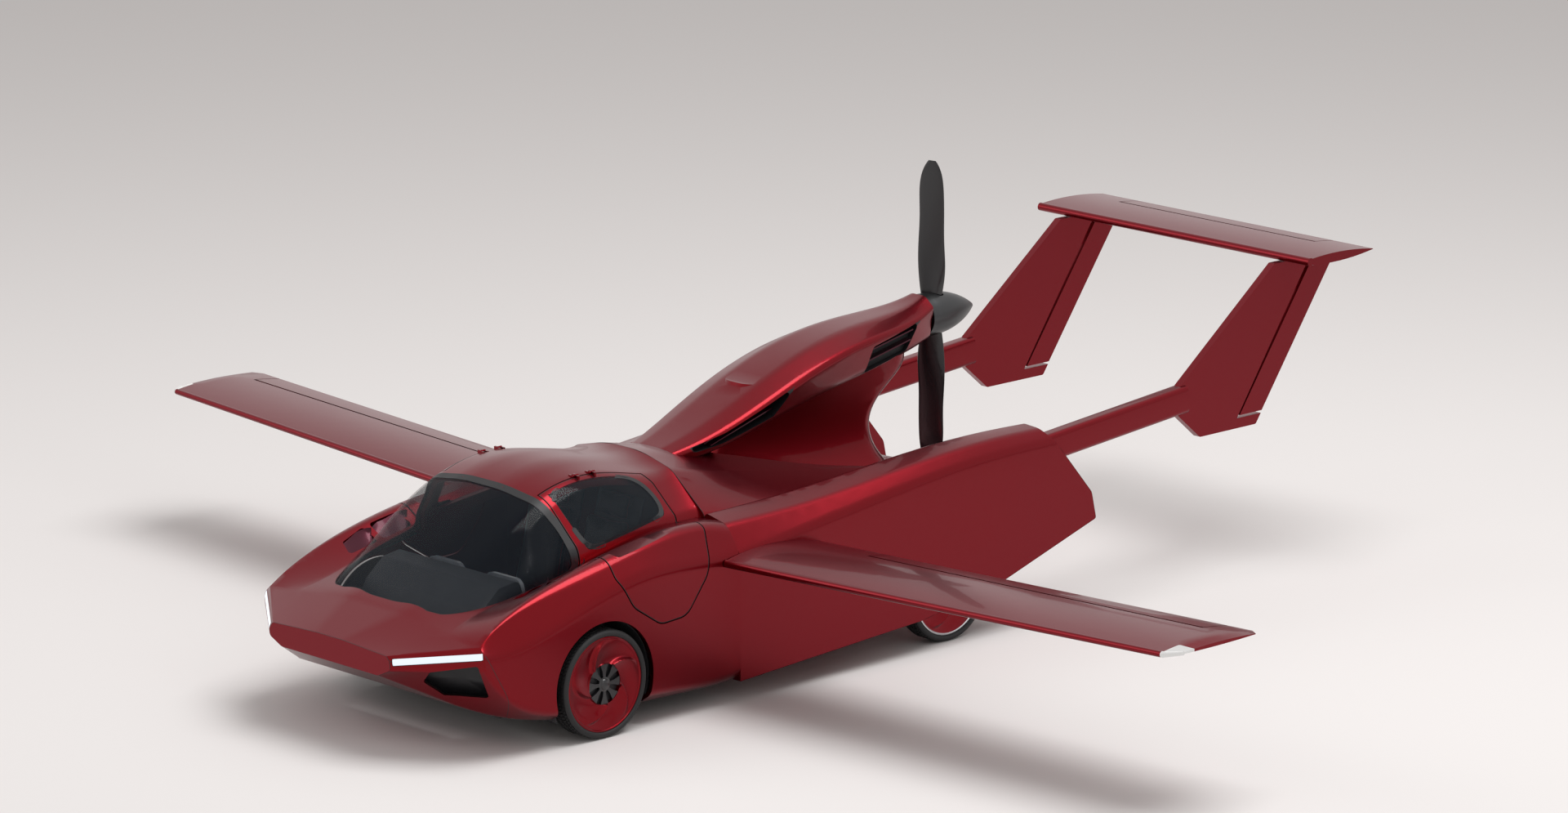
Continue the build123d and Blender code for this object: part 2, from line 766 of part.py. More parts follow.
def wing_section(row, start=0.0, end=1.0):
    """Aerofoil for a wing row between two shares of the chord."""
    x, lead, chord, height, thick = row
    blunt = 4.0
    with BuildSketch(Plane.YZ.offset(x)) as face:
        with BuildLine():
            ThreePointArc(
                (aft(lead + chord * 0.04), height + thick * 0.26),
                (aft(lead), height),
                (aft(lead + chord * 0.04), height - thick * 0.20))
            ThreePointArc(
                (aft(lead + chord * 0.04), height - thick * 0.20),
                (aft(lead + chord * 0.40), height - thick * 0.36),
                (aft(lead + chord), height - blunt / 2))
            Line((aft(lead + chord), height - blunt / 2), (aft(lead + chord), height + blunt / 2))
            ThreePointArc(
                (aft(lead + chord), height + blunt / 2),
                (aft(lead + chord * 0.40), height + thick * 0.62),
                (aft(lead + chord * 0.04), height + thick * 0.26))
        make_face()
        if start > 0 or end < 1:
            with Locations((aft(lead + chord * (start + end) / 2), height)):
                Rectangle(chord * (end - start), 400, mode=Mode.INTERSECT)
    return face.sketch


def hinge_point(x):
    """Aileron hinge point at x."""
    row = wing_at(x)
    return (x, aft(row[1] + row[2] * hinge_share), row[3] + row[4] * 0.08)


def bar(start, end, radius):
    """Round bar between two points."""
    line = Vector(*end) - Vector(*start)
    with BuildPart() as body:
        with BuildSketch(Plane(origin=start, z_dir=line)):
            Circle(radius)
        extrude(amount=line.length)
    return body.part


hinge_pin_radius = 5.0
pin_reach = 25.0


def hinge_pins(start, end, gap, radius, beyond=0.0):
    """Short pins on a hinge line, past both ends of a surface and its end gaps."""
    start = Vector(*start)
    end = Vector(*end)
    line = (end - start).normalized()
    with BuildPart() as pins:
        add(bar(start + line * 10, start - line * (gap + pin_reach + beyond), radius))
        add(bar(end - line * 10, end + line * (gap + pin_reach + beyond), radius))
    return pins.part


nose_radius = 17.0
inner_x = aileron_inner + aileron_gap
outer_x = aileron_outer - aileron_gap
bore_radius = hinge_pin_radius + running_gap

with BuildPart() as wing_left:
    loft([wing_section(row) for row in (*wing_rows, wing_tip)], ruled=True)
    add(prism(plan_outline(
        500, [(x, wing_at(x)[1] + wing_at(x)[2] * hinge_share - hinge_setback) for x in (aileron_inner, aileron_outer)]
        + [(aileron_outer, 3200), (aileron_inner, 3200)], 0), 700), mode=Mode.SUBTRACT)
    add(bar(hinge_point(aileron_inner), hinge_point(aileron_outer), nose_radius + aileron_gap), mode=Mode.SUBTRACT)
    add(hinge_pins(hinge_point(inner_x), hinge_point(outer_x), aileron_gap, bore_radius, 3), mode=Mode.SUBTRACT)
tip_lamp_x = 4030.0
tip_lamp_end = 2400.0
tip_region = prism(
    plan_outline(500, [(tip_lamp_x, 2000), (4200, 2000), (4200, tip_lamp_end), (tip_lamp_x, tip_lamp_end - 110)], 0),
    700)
with BuildPart() as wing_outer:
    add(wing_left.part)
with BuildPart() as tip_lamp:
    add(wing_outer.part)
    add(tip_region, mode=Mode.INTERSECT)
with BuildPart() as wing_left:
    add(wing_outer.part)
    add(tip_region, mode=Mode.SUBTRACT)
both_sides(wing_left, "wing")
with BuildPart() as wingtip_lamps:
    add(tip_lamp.part)
    mirror(tip_lamp.part, about=Plane.YZ)
save(wingtip_lamps, "wingtip_lamps")

with BuildPart() as aileron_left:
    loft([wing_section(wing_at(x), hinge_share + hinge_setback / wing_at(x)[2]) for x in (inner_x, outer_x)],
         ruled=True)
    add(bar(hinge_point(inner_x), hinge_point(outer_x), nose_radius))
    add(hinge_pins(hinge_point(inner_x), hinge_point(outer_x), aileron_gap, hinge_pin_radius))
both_sides(aileron_left, "aileron")

# Tail: booms, fins and top tailplane
fin_thick = 46.0
fin_points = [(5560, 1102), (5625, 1020), (5820, 857), (6300, 856), (6975, 1795), (6440, 1795), (5650, 1190)]
rudder_low = 930.0
rudder_top = 1735.0
rudder_gap = 14.0
rudder_chord = 190.0
fin_base = 856.0
fin_top = 1795.0
trail_low = 6300.0
trail_top = 6975.0

with BuildPart() as boom_left:
    start = boom_plane(-boom_inside)
    with BuildSketch(start):
        RectangleRounded(boom_width, boom_height, 30)
    extrude(amount=boom_inside + boom_reach)
both_sides(boom_left, "boom")


def trailing(z, ahead=0.0):
    """Station of the fin's trailing edge at a height, less a distance."""
    share = (z - fin_base) / (fin_top - fin_base)
    return trail_low + share * (trail_top - trail_low) - ahead


rudder_hinge = [(boom_x, aft(trailing(z, rudder_chord)), z) for z in (rudder_low, rudder_top)]
with BuildPart() as fin_left:
    with BuildSketch(Plane.YZ.offset(boom_x - fin_thick / 2)):
        with BuildLine():
            pts = [(aft(s), z) for s, z in fin_points]
            FilletPolyline(*pts, radius=rounded(pts, [10, 30, 20, 20, 4, 4, 60]), close=True)
        make_face()
    extrude(amount=fin_thick)
    with BuildSketch(Plane.YZ.offset(boom_x - 100)):
        Polygon(
            *[(aft(s), z) for s, z in [
                (trailing(rudder_low, rudder_chord + aileron_gap + 20), rudder_low - rudder_gap),
                (trailing(rudder_low, -100), rudder_low - rudder_gap),
                (trailing(rudder_top, -100), rudder_top + rudder_gap),
                (trailing(rudder_top, rudder_chord + aileron_gap + 20), rudder_top + rudder_gap)]],
            align=None)
    extrude(amount=200, mode=Mode.SUBTRACT)
    add(boom_left.part, mode=Mode.SUBTRACT)
    add(hinge_pins(*rudder_hinge, 2 * rudder_gap, bore_radius, 3), mode=Mode.SUBTRACT)
both_sides(fin_left, "fin")

with BuildPart() as rudder_left:
    with BuildSketch(Plane.YZ.offset(boom_x - fin_thick / 2 + 3)):
        Polygon(
            *[(aft(s), z) for s, z in [
                (trailing(rudder_low, rudder_chord), rudder_low), (trailing(rudder_low, 0), rudder_low),
                (trailing(rudder_top, 0), rudder_top), (trailing(rudder_top, rudder_chord), rudder_top)]],
            align=None)
    extrude(amount=fin_thick - 6)
    add(hinge_pins(*rudder_hinge, 2 * rudder_gap, hinge_pin_radius))
both_sides(rudder_left, "rudder")

tailplane_half = 1100.0
tailplane_lead = 6500.0
tailplane_chord = 570.0
tailplane_z = 1824.0
tailplane_thick = 56.0
elevator_half = 790.0
elevator_chord = 170.0


def tailplane_section(x, start=0.0, end=1.0):
    """Tailplane section at x between two shares of its chord."""
    lead = tailplane_lead
    with BuildSketch(Plane.YZ.offset(x)) as face:
        with BuildLine():
            ThreePointArc(
                (aft(lead + 40), tailplane_z + tailplane_thick * 0.34), (aft(lead), tailplane_z),
                (aft(lead + 40), tailplane_z - tailplane_thick * 0.34))
            ThreePointArc(
                (aft(lead + 40), tailplane_z - tailplane_thick * 0.34),
                (aft(lead + 220), tailplane_z - tailplane_thick * 0.5),
                (aft(lead + tailplane_chord), tailplane_z - 2))
            Line((aft(lead + tailplane_chord), tailplane_z - 2), (aft(lead + tailplane_chord), tailplane_z + 2))
            ThreePointArc(
                (aft(lead + tailplane_chord), tailplane_z + 2),
                (aft(lead + 220), tailplane_z + tailplane_thick * 0.5),
                (aft(lead + 40), tailplane_z + tailplane_thick * 0.34))
        make_face()
        with Locations((aft(lead + tailplane_chord * (start + end) / 2), tailplane_z)):
            Rectangle(tailplane_chord * (end - start) + 2, 400, mode=Mode.INTERSECT)
    return face.sketch


elevator_start = 1 - elevator_chord / tailplane_chord
elevator_hinge = (tailplane_lead + tailplane_chord * elevator_start, tailplane_z)
elevator_ends = [(x, aft(elevator_hinge[0]), tailplane_z) for x in (-elevator_half, elevator_half)]
with BuildPart() as tailplane:
    extrude(tailplane_section(-tailplane_half), amount=2 * tailplane_half)
    with Locations((0, aft(elevator_hinge[0]) - hinge_setback, tailplane_z)):
        Box(2 * (elevator_half + aileron_gap), 400, 300, align=(Align.CENTER, Align.MIN, Align.CENTER),
            mode=Mode.SUBTRACT)
    add(bar((-elevator_half - aileron_gap, aft(elevator_hinge[0]), tailplane_z),
            (elevator_half + aileron_gap, aft(elevator_hinge[0]), tailplane_z), 14 + aileron_gap),
        mode=Mode.SUBTRACT)
    add(hinge_pins(*elevator_ends, aileron_gap, bore_radius, 3), mode=Mode.SUBTRACT)
    add(fin_left.part, mode=Mode.SUBTRACT)
    add(mirror(fin_left.part, about=Plane.YZ), mode=Mode.SUBTRACT)
save(tailplane, "tailplane")

with BuildPart() as elevator:
    extrude(tailplane_section(-elevator_half, elevator_start + hinge_setback / tailplane_chord),
            amount=2 * elevator_half)
    add(bar((-elevator_half, aft(elevator_hinge[0]), tailplane_z),
            (elevator_half, aft(elevator_hinge[0]), tailplane_z), 14))
    add(hinge_pins(*elevator_ends, aileron_gap, hinge_pin_radius))
save(elevator, "elevator")

# Roof hinges of a door: on the roof a pin between two lugs, on the door an eye
hinge_x = 381.5
hinge_z = 1297.0
hinge_stations = (1400.0, 1520.0)
lug_radius = 9.0
lug_inner = 9.0
lug_outer = 20.0
eye_half = 6.0
hinge_room = 3.0
hinge_foot = 28.0


def hinge_bars(start, end, radius):
    """Bars on the left door's hinge line between two distances from each hinge's middle."""
    with BuildPart() as bars:
        for station in hinge_stations:
            add(bar((hinge_x, aft(station + start), hinge_z), (hinge_x, aft(station + end), hinge_z), radius))
    return bars.part


def hinge_feet(start, end, direction):
    """Blocks that join hinge bars to the panel on the side that direction points to."""
    with BuildPart() as feet:
        for station in hinge_stations:
            with Locations((hinge_x + direction * 4, aft(station + (start + end) / 2), hinge_z + 4)):
                Box(hinge_foot, end - start, hinge_foot,
                    align=(Align.MIN if direction > 0 else Align.MAX, Align.CENTER, Align.MAX))
    return feet.part


with BuildPart() as roof_lugs:
    for start, end in ((-lug_outer, -lug_inner), (lug_inner, lug_outer)):
        add(hinge_bars(start, end, lug_radius))
        add(hinge_feet(start, end, -1))
    add(hinge_bars(-lug_outer, lug_outer, hinge_pin_radius))
with BuildPart() as door_eyes:
    add(hinge_bars(-eye_half, eye_half, lug_radius))
    add(hinge_feet(-eye_half, eye_half, 1))
    add(hinge_bars(-lug_outer, lug_outer, bore_radius), mode=Mode.SUBTRACT)
roof_room = hinge_bars(-lug_inner, lug_inner, lug_radius + hinge_room)
door_room = hinge_bars(-lug_outer - hinge_room, lug_outer + hinge_room, lug_radius + hinge_room)

# Bubble wall that stands clear of the car body's void
with BuildPart() as bubble_wall:
    add(canopy_outer)
    add(canopy_inner, mode=Mode.SUBTRACT)
    add(hull_inner, mode=Mode.SUBTRACT)

with BuildPart() as windscreen:
    add(canopy_outer)
    add(canopy_glass, mode=Mode.SUBTRACT)
    add(hull_inner, mode=Mode.SUBTRACT)
    add(front_of_hoop, mode=Mode.INTERSECT)
save(windscreen, "windscreen")

bulkhead_station = 2060.0
bulkhead_wall = 25.0
with BuildPart() as bulkhead:
    add(canopy_inner)
    add(hull_inner)
    with Locations((0, aft(bulkhead_station), 0)):
        Box(2400, bulkhead_wall, 3200, mode=Mode.INTERSECT)
    with Locations((0, aft(bulkhead_station), 0)):
        Box(2400, 100, 2 * floor_top, mode=Mode.SUBTRACT)

with BuildPart() as cabin_shell:
    add(bubble_wall.part)
    add(front_of_hoop, mode=Mode.SUBTRACT)
    for cut in (door_cut, roof_room):
        add(cut, mode=Mode.SUBTRACT)
        add(mirror(cut, about=Plane.YZ), mode=Mode.SUBTRACT)
    add(roof_lugs.part)
    add(mirror(roof_lugs.part, about=Plane.YZ))
    add(bulkhead.part)
save(cabin_shell, "cabin_shell")

window_block = prism(side_outline(window_top_x, window_points, window_radii), 500)
with BuildPart() as door_left:
    add(body_skin.part)
    add(bubble_wall.part)
    add(door_block, mode=Mode.INTERSECT)
    add(window_block, mode=Mode.SUBTRACT)
    add(door_room, mode=Mode.SUBTRACT)
    add(door_eyes.part)
both_sides(door_left, "door")

with BuildPart() as door_glass_left:
    add(canopy_outer)
    add(canopy_glass, mode=Mode.SUBTRACT)
    add(hull_inner, mode=Mode.SUBTRACT)
    add(window_block, mode=Mode.INTERSECT)
both_sides(door_glass_left, "door_glass")

# Cabin furniture
seat_x = 240.0
seat_width = 385.0
seat_front = 1180.0
seat_depth = 520.0
seat_low = floor_top
seat_cushion = 150.0
seat_top = 470.0
back_thick = 130.0
back_top = 985.0
head_height = 120.0

with BuildPart() as seats:
    for side in (1, -1):
        with BuildSketch(Plane.YZ.offset(side * seat_x - seat_width / 2)):
            with BuildLine():
                pts = [(aft(s), z) for s, z in [
                    (seat_front, seat_low), (seat_front, seat_top - 20), (seat_front + seat_depth - 90, seat_top - 50),
                    (seat_front + seat_depth + 90, back_top), (seat_front + seat_depth + 100, back_top + head_height),
                    (seat_front + seat_depth + 190, back_top + head_height),
                    (seat_front + seat_depth + 60, seat_top - 80), (seat_front + seat_depth + 20, seat_low)]]
                FilletPolyline(*pts, radius=rounded(pts, [20, 60, 60, 60, 30, 40, 80, 20]), close=True)
            make_face()
        extrude(amount=seat_width)
save(seats, "seats")

dash_points = [(560, 560), (640, 700), (760, 800), (900, 820), (930, 740), (880, 560), (820, 420), (600, 420)]
with BuildPart() as dashboard:
    with BuildSketch(Plane.YZ.offset(-480)):
        with BuildLine():
            pts = [(aft(s), z) for s, z in dash_points]
            FilletPolyline(*pts, radius=rounded(pts, [40] * len(pts)), close=True)
        make_face()
    extrude(amount=960)
    with Locations((0, aft(700), floor_top)):
        Box(200, 240, 330, align=(Align.CENTER, Align.CENTER, Align.MIN))
save(dashboard, "dashboard")

yoke_z = 700.0
with BuildPart() as control_yokes:
    for side in (1, -1):
        with BuildSketch(Plane.XZ.offset(-aft(910))):
            with Locations((side * seat_x, yoke_z)):
                Circle(16)
        extrude(amount=-90)
        with BuildSketch(Plane.XZ.offset(-aft(1000))):
            with Locations((side * seat_x, yoke_z)):
                RectangleRounded(300, 170, 60)
                RectangleRounded(250, 120, 40, mode=Mode.SUBTRACT)
                Rectangle(290, 30)
        extrude(amount=-24)
    add(dashboard.part, mode=Mode.SUBTRACT)
save(control_yokes, "control_yokes")
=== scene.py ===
"""Looks of a two-seat flying car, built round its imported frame.

Each sub-assembly is a class that holds its sizes in metres and makes its own pieces. Each finish is a
small frozen class that makes one material.
"""

import json
import logging
import math
from collections.abc import Sequence
from dataclasses import dataclass
from enum import Enum

import bmesh
import bpy
from mathutils import Matrix, Vector
from mathutils.bvhtree import BVHTree

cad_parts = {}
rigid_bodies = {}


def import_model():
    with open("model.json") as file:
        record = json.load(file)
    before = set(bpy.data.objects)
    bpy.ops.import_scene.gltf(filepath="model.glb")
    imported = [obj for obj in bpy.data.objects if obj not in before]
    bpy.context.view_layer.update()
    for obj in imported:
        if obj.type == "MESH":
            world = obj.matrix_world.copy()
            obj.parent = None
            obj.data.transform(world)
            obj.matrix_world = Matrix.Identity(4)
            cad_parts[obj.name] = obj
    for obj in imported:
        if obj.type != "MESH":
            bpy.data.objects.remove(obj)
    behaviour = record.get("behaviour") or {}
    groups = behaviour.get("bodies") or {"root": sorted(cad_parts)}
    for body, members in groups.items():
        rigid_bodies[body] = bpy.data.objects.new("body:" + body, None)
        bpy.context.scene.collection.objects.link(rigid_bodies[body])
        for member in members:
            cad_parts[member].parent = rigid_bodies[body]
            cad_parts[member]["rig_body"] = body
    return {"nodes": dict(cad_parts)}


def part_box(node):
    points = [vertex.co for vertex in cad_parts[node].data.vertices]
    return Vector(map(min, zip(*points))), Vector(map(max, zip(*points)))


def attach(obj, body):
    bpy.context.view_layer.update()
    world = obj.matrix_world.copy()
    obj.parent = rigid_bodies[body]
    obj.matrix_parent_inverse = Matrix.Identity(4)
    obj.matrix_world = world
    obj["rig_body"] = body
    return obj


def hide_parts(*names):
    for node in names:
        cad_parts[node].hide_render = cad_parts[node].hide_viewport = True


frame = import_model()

log = logging.getLogger("flying_car")
Colour = tuple[float, float, float]
Point = tuple[float, float, float]
Place = tuple[float, float]
Mesh = bmesh.types.BMesh
Piece = bpy.types.Object
Material = bpy.types.Material

MERGE_DISTANCE = 2e-5
CAD_CREASE = 26.0
STATION_ORIGIN = 3.52


class Side(Enum):
    """Side of the machine, as the sign of its x."""

    LEFT = 1
    RIGHT = -1

    @property
    def word(self) -> str:
        """Name used in nodes and pieces."""
        return self.name.lower()


class Value:
    """A number in a node tree. Python's operators on it add Math nodes."""

    def __init__(self, nodes: "NodeTree", socket: bpy.types.NodeSocket) -> None:
        """Wrap one output socket of a tree."""
        self.nodes = nodes
        self.socket = socket

    def _math(self, operation: str, first: object, second: object) -> "Value":
        """Add one Math node."""
        node = self.nodes.node("ShaderNodeMath", {"operation": operation}, {0: first, 1: second})
        return Value(self.nodes, node.outputs[0])

    def __add__(self, other: object) -> "Value":
        """Sum."""
        return self._math("ADD", self, other)

    __radd__ = __add__

    def __mul__(self, other: object) -> "Value":
        """Product."""
        return self._math("MULTIPLY", self, other)

    def __truediv__(self, other: object) -> "Value":
        """Quotient."""
        return self._math("DIVIDE", self, other)


class NodeTree:
    """A node tree with one way to add a node."""

    def __init__(self, tree: bpy.types.NodeTree) -> None:
        """Take an empty tree."""
        self.tree = tree

    def node(self, kind: str, settings: dict | None = None, inputs: dict | None = None) -> bpy.types.Node:
        """Add a node.

        Args:
            kind: the node's type.
            settings: properties that are set first.
            inputs: values or links by socket name or number.

        Returns:
            The new node.
        """
        made = self.tree.nodes.new(kind)
        for name, value in (settings or {}).items():
            setattr(made, name, value)
        for key, value in (inputs or {}).items():
            self.feed(made.inputs[key], value)
        return made

    def feed(self, socket: bpy.types.NodeSocket, value: object) -> None:
        """Link a value to a socket, or set the socket's own number or colour."""
        if isinstance(value, Value):
            self.tree.links.new(value.socket, socket)
        elif isinstance(value, bpy.types.NodeSocket):
            self.tree.links.new(value, socket)
        elif isinstance(value, tuple) and socket.type == "RGBA":
            socket.default_value = (*value, 1.0)
        else:
            socket.default_value = value


class Shader(NodeTree):
    """A material with a Principled surface."""

    def __init__(self, name: str) -> None:
        """Make the material with its surface and output."""
        self.material = bpy.data.materials.new(name)
        self.material.use_nodes = True
        super().__init__(self.material.node_tree)
        self.tree.nodes.clear()
        self.surface = self.node("ShaderNodeBsdfPrincipled")
        self.output = self.node("ShaderNodeOutputMaterial", None, {"Surface": self.surface.outputs[0]})
        self.place = self.node("ShaderNodeTexCoord").outputs["Object"]

    def set(self, **sockets: object) -> None:
        """Set or link sockets of the surface; an underscore in a name stands for a space."""
        for name, value in sockets.items():
            self.feed(self.surface.inputs[name.replace("_", " ")], value)

    def noise(self, scale: float, detail: float = 3.0, stretch: Point = (1.0, 1.0, 1.0)) -> Value:
        """Fractal noise between 0 and 1 on object coordinates."""
        mapping = self.node("ShaderNodeMapping", None, {"Vector": self.place, "Scale": stretch})
        made = self.node("ShaderNodeTexNoise", None, {
            "Vector": mapping.outputs[0], "Scale": scale, "Detail": detail})
        return Value(self, made.outputs[0])

    def cells(self, scale: float) -> Value:
        """Distance to the nearest cell centre."""
        made = self.node("ShaderNodeTexVoronoi", None, {"Vector": self.place, "Scale": scale})
        return Value(self, made.outputs["Distance"])

    def facing(self, blend: float) -> Value:
        """Zero where a surface is seen square on, one at its edge."""
        made = self.node("ShaderNodeLayerWeight", None, {"Blend": blend})
        return Value(self, made.outputs["Facing"])

    def mix(self, factor: object, first: object, second: object) -> bpy.types.NodeSocket:
        """Mix two colours."""
        made = self.node("ShaderNodeMix", {"data_type": "RGBA"}, {0: factor, 6: first, 7: second})
        return made.outputs[2]

    def bump(self, height: object, strength: float, distance: float) -> None:
        """Raise the surface's normal by a height map."""
        made = self.node("ShaderNodeBump", None, {
            "Height": height, "Strength": strength, "Distance": distance})
        self.set(Normal=made.outputs[0])


@dataclass(frozen=True)
class CandyPaint:
    """Deep red metallic paint under clear coat, with a painted purple sheen in its colour where the surface turns
    away from view.
    """

    name: str = "candy_paint"
    deep: Colour = (0.195, 0.0015, 0.004)
    # Colour at grazing angles: a painted purple sheen.
    bright: Colour = (0.17, 0.008, 0.026)
    metallic: float = 0.95
    roughness: float = 0.30
    flake_scale: float = 900.0

    def make(self) -> Material:
        """Build the material."""
        shader = Shader(self.name)
        flakes = shader.cells(self.flake_scale)
        haze = shader.noise(1.3, 2.0)
        # Painted sheen: the colour turns purple towards grazing angles, a painted reflection; the haze adds random
        # tone.
        edge = shader.facing(0.35)
        colour = shader.mix(edge * 0.75 + haze * 0.12, self.deep, self.bright)
        shader.set(
            Base_Color=colour, Metallic=self.metallic,
            Roughness=flakes * 0.10 + haze * 0.05 + (self.roughness - 0.07),
            Coat_Weight=0.30, Coat_Roughness=0.045, Coat_IOR=1.40)
        return shader.material


@dataclass(frozen=True)
class TintedGlass:
    """Dark blue-grey glass that still shows the cabin."""

    name: str
    tint: Colour = (0.012, 0.017, 0.024)
    cover: float = 0.80

    def make(self) -> Material:
        """Build the material."""
        shader = Shader(self.name)
        smear = shader.noise(6.0, 2.0)
        shader.set(
            Base_Color=self.tint, Roughness=smear * 0.04 + 0.05, Alpha=self.cover,
            Specular_IOR_Level=0.2, IOR=1.42)
        return shader.material


@dataclass(frozen=True)
class Moulded:
    """Moulded plastic, coated metal or rubber with a fine grain."""

    name: str
    colour: Colour
    roughness: float = 0.45
    metallic: float = 0.0
    grain: float = 700.0
    grain_depth: float = 0.0002
    change: float = 0.25
    coat: float = 0.0

    def make(self) -> Material:
        """Build the material."""
        shader = Shader(self.name)
        patch = shader.noise(9.0, 3.0)
        fine = shader.noise(self.grain, 2.0)
        darker = tuple(part * (1 - self.change) for part in self.colour)
        shader.set(
            Base_Color=shader.mix(patch, self.colour, darker), Metallic=self.metallic,
            Roughness=patch * 0.10 + fine * 0.06 + (self.roughness - 0.08), Coat_Weight=self.coat,
            Coat_Roughness=0.08)
        shader.bump(fine, 0.35, self.grain_depth)
        return shader.material


@dataclass(frozen=True)
class TurnedMetal:
    """Brushed or turned metal with fine lines along one axis."""

    name: str
    colour: Colour
    roughness: float = 0.32
    stretch: Point = (1.0, 1.0, 30.0)

    def make(self) -> Material:
        """Build the material."""
        shader = Shader(self.name)
        lines = shader.noise(60.0, 3.0, self.stretch)
        patch = shader.noise(5.0, 2.0)
        darker = tuple(part * 0.72 for part in self.colour)
        shader.set(
            Base_Color=shader.mix(patch * 0.7, self.colour, darker), Metallic=1.0,
            Roughness=lines * 0.16 + (self.roughness - 0.06))
        shader.bump(lines, 0.15, 0.0003)
        return shader.material


@dataclass(frozen=True)
class Hide:
    """Leather with a pebbled grain, with painted shade darkening the creases between pebbles."""

    name: str
    colour: Colour

    def make(self) -> Material:
        """Build the material."""
        shader = Shader(self.name)
        pebbles = shader.cells(420.0)
        patch = shader.noise(7.0, 3.0)
        darker = tuple(part * 0.6 for part in self.colour)
        # Painted shade: the colour darkens towards the pebbles' edges, in the creases; the patches add random tone.
        shader.set(
            Base_Color=shader.mix(patch * 0.5 + pebbles * 0.4, self.colour, darker),
            Roughness=pebbles * 0.2 + 0.38, Sheen_Weight=0.1)
        shader.bump(pebbles, 0.4, 0.0006)
        return shader.material


@dataclass(frozen=True)
class Glow:
    """Lit lamp strip behind a clear lens."""

    name: str
    colour: Colour = (0.85, 0.93, 1.0)
    strength: float = 0.9

    def make(self) -> Material:
        """Build the material."""
        shader = Shader(self.name)
        dots = shader.noise(160.0, 1.0)
        shader.set(
            Base_Color=shader.mix(dots, (0.10, 0.11, 0.12), (0.16, 0.17, 0.18)), Roughness=0.12,
            Emission_Color=self.colour, Emission_Strength=self.strength, Coat_Weight=0.3)
        return shader.material


class Finishes:
    """Every material of the machine, made once."""

    def __init__(self) -> None:
        """Build the materials."""
        self.paint = CandyPaint().make()
        self.windscreen_glass = TintedGlass("windscreen_glass", cover=0.30).make()
        self.side_glass = TintedGlass("side_glass", (0.016, 0.022, 0.028), 0.42).make()
        self.frit = Moulded("window_border", (0.004, 0.004, 0.006), 0.5).make()
        self.rubber = Moulded("tyre_rubber", (0.009, 0.009, 0.010), 0.66, grain=500.0).make()
        # Near-black for ducts, pockets, vent beds and the hub well: a black lining, darkened further as painted
        # shade of these openings.
        self.void = Moulded("duct_black", (0.006, 0.006, 0.008), 0.55).make()
        self.underbody = Moulded("underbody_black", (0.022, 0.022, 0.025), 0.6).make()
        self.blade = Moulded("blade_black", (0.008, 0.008, 0.010), 0.30, coat=0.4).make()
        self.dark_trim = Moulded("cabin_trim_dark", (0.040, 0.046, 0.055), 0.5).make()
        self.clear_trim = Moulded("yoke_gloss", (0.55, 0.60, 0.66), 0.18, coat=1.0).make()
        self.spinner = TurnedMetal("spinner_metal", (0.085, 0.087, 0.09), 0.34, (30.0, 1.0, 30.0)).make()
        self.steel = TurnedMetal("steel", (0.42, 0.43, 0.45), 0.38).make()
        self.rim_edge = TurnedMetal("rim_edge", (0.62, 0.63, 0.65), 0.22).make()
        self.cast = Moulded("cast_iron", (0.07, 0.07, 0.072), 0.62, 0.8, 300.0, 0.0006).make()
        self.hide = Hide("seat_leather", (0.032, 0.034, 0.040)).make()
        self.glow = Glow("lamp_glow").make()
        self.tip_glow = Glow("tip_lamp_glow", (1.0, 0.96, 0.92), 0.5).make()
        self.shut_line = Moulded("shut_line", (0.012, 0.002, 0.004), 0.6).make()
        # A darker copy of the body paint for blades set in vent and pocket openings: painted shade of those
        # recesses, with the same painted sheen.
        self.plum = CandyPaint("plum_paint", (0.050, 0.004, 0.012), (0.085, 0.012, 0.03), 0.8, 0.3).make()
        self.piping = Hide("seat_piping", (0.16, 0.012, 0.02)).make()


def mesh_object(name: str, build: Mesh, material: Material) -> Piece:
    """Turn a bmesh into an object at the origin with one material."""
    mesh = bpy.data.meshes.new(name)
    build.to_mesh(mesh)
    build.free()
    made = bpy.data.objects.new(name, mesh)
    bpy.context.scene.collection.objects.link(made)
    made.data.materials.append(material)
    return made


def smooth_faces(build: Mesh, crease_degrees: float) -> None:
    """Shade faces smooth, with edges sharp past an angle."""
    limit = math.radians(crease_degrees)
    for face in build.faces:
        face.smooth = True
    for edge in build.edges:
        edge.smooth = len(edge.link_faces) == 2 and edge.calc_face_angle(0.0) < limit


def cad_mesh(node: str) -> Mesh:
    """Mesh of a CAD node with its doubles merged."""
    build = bmesh.new()
    build.from_mesh(frame["nodes"][node].data)
    bmesh.ops.remove_doubles(build, verts=build.verts, dist=MERGE_DISTANCE)
    bmesh.ops.dissolve_degenerate(build, edges=build.edges, dist=1e-6)
    return build


def merged_copy(node: str, piece: str, material: Material) -> Piece:
    """Smooth copy of a CAD node, which rides on the node's body and stands for it."""
    build = cad_mesh(node)
    smooth_faces(build, CAD_CREASE)
    made = mesh_object(piece, build, material)
    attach(made, frame["nodes"][node]["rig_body"])
    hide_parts(node)
    return made


def bridge(build: Mesh, rows: Sequence[Sequence[bmesh.types.BMVert]], across: bool = True,
           along: bool = False) -> None:
    """Join rows of corners with quads.

    Args:
        build: mesh that holds the corners.
        rows: equally long rows of corners.
        across: whether each row closes into a ring.
        along: whether the last row joins the first.
    """
    pairs = list(zip(rows, rows[1:])) + ([(rows[-1], rows[0])] if along else [])
    for here, there in pairs:
        count = len(here)
        for index in range(count if across else count - 1):
            far = (index + 1) % count
            build.faces.new((here[index], there[index], there[far], here[far]))


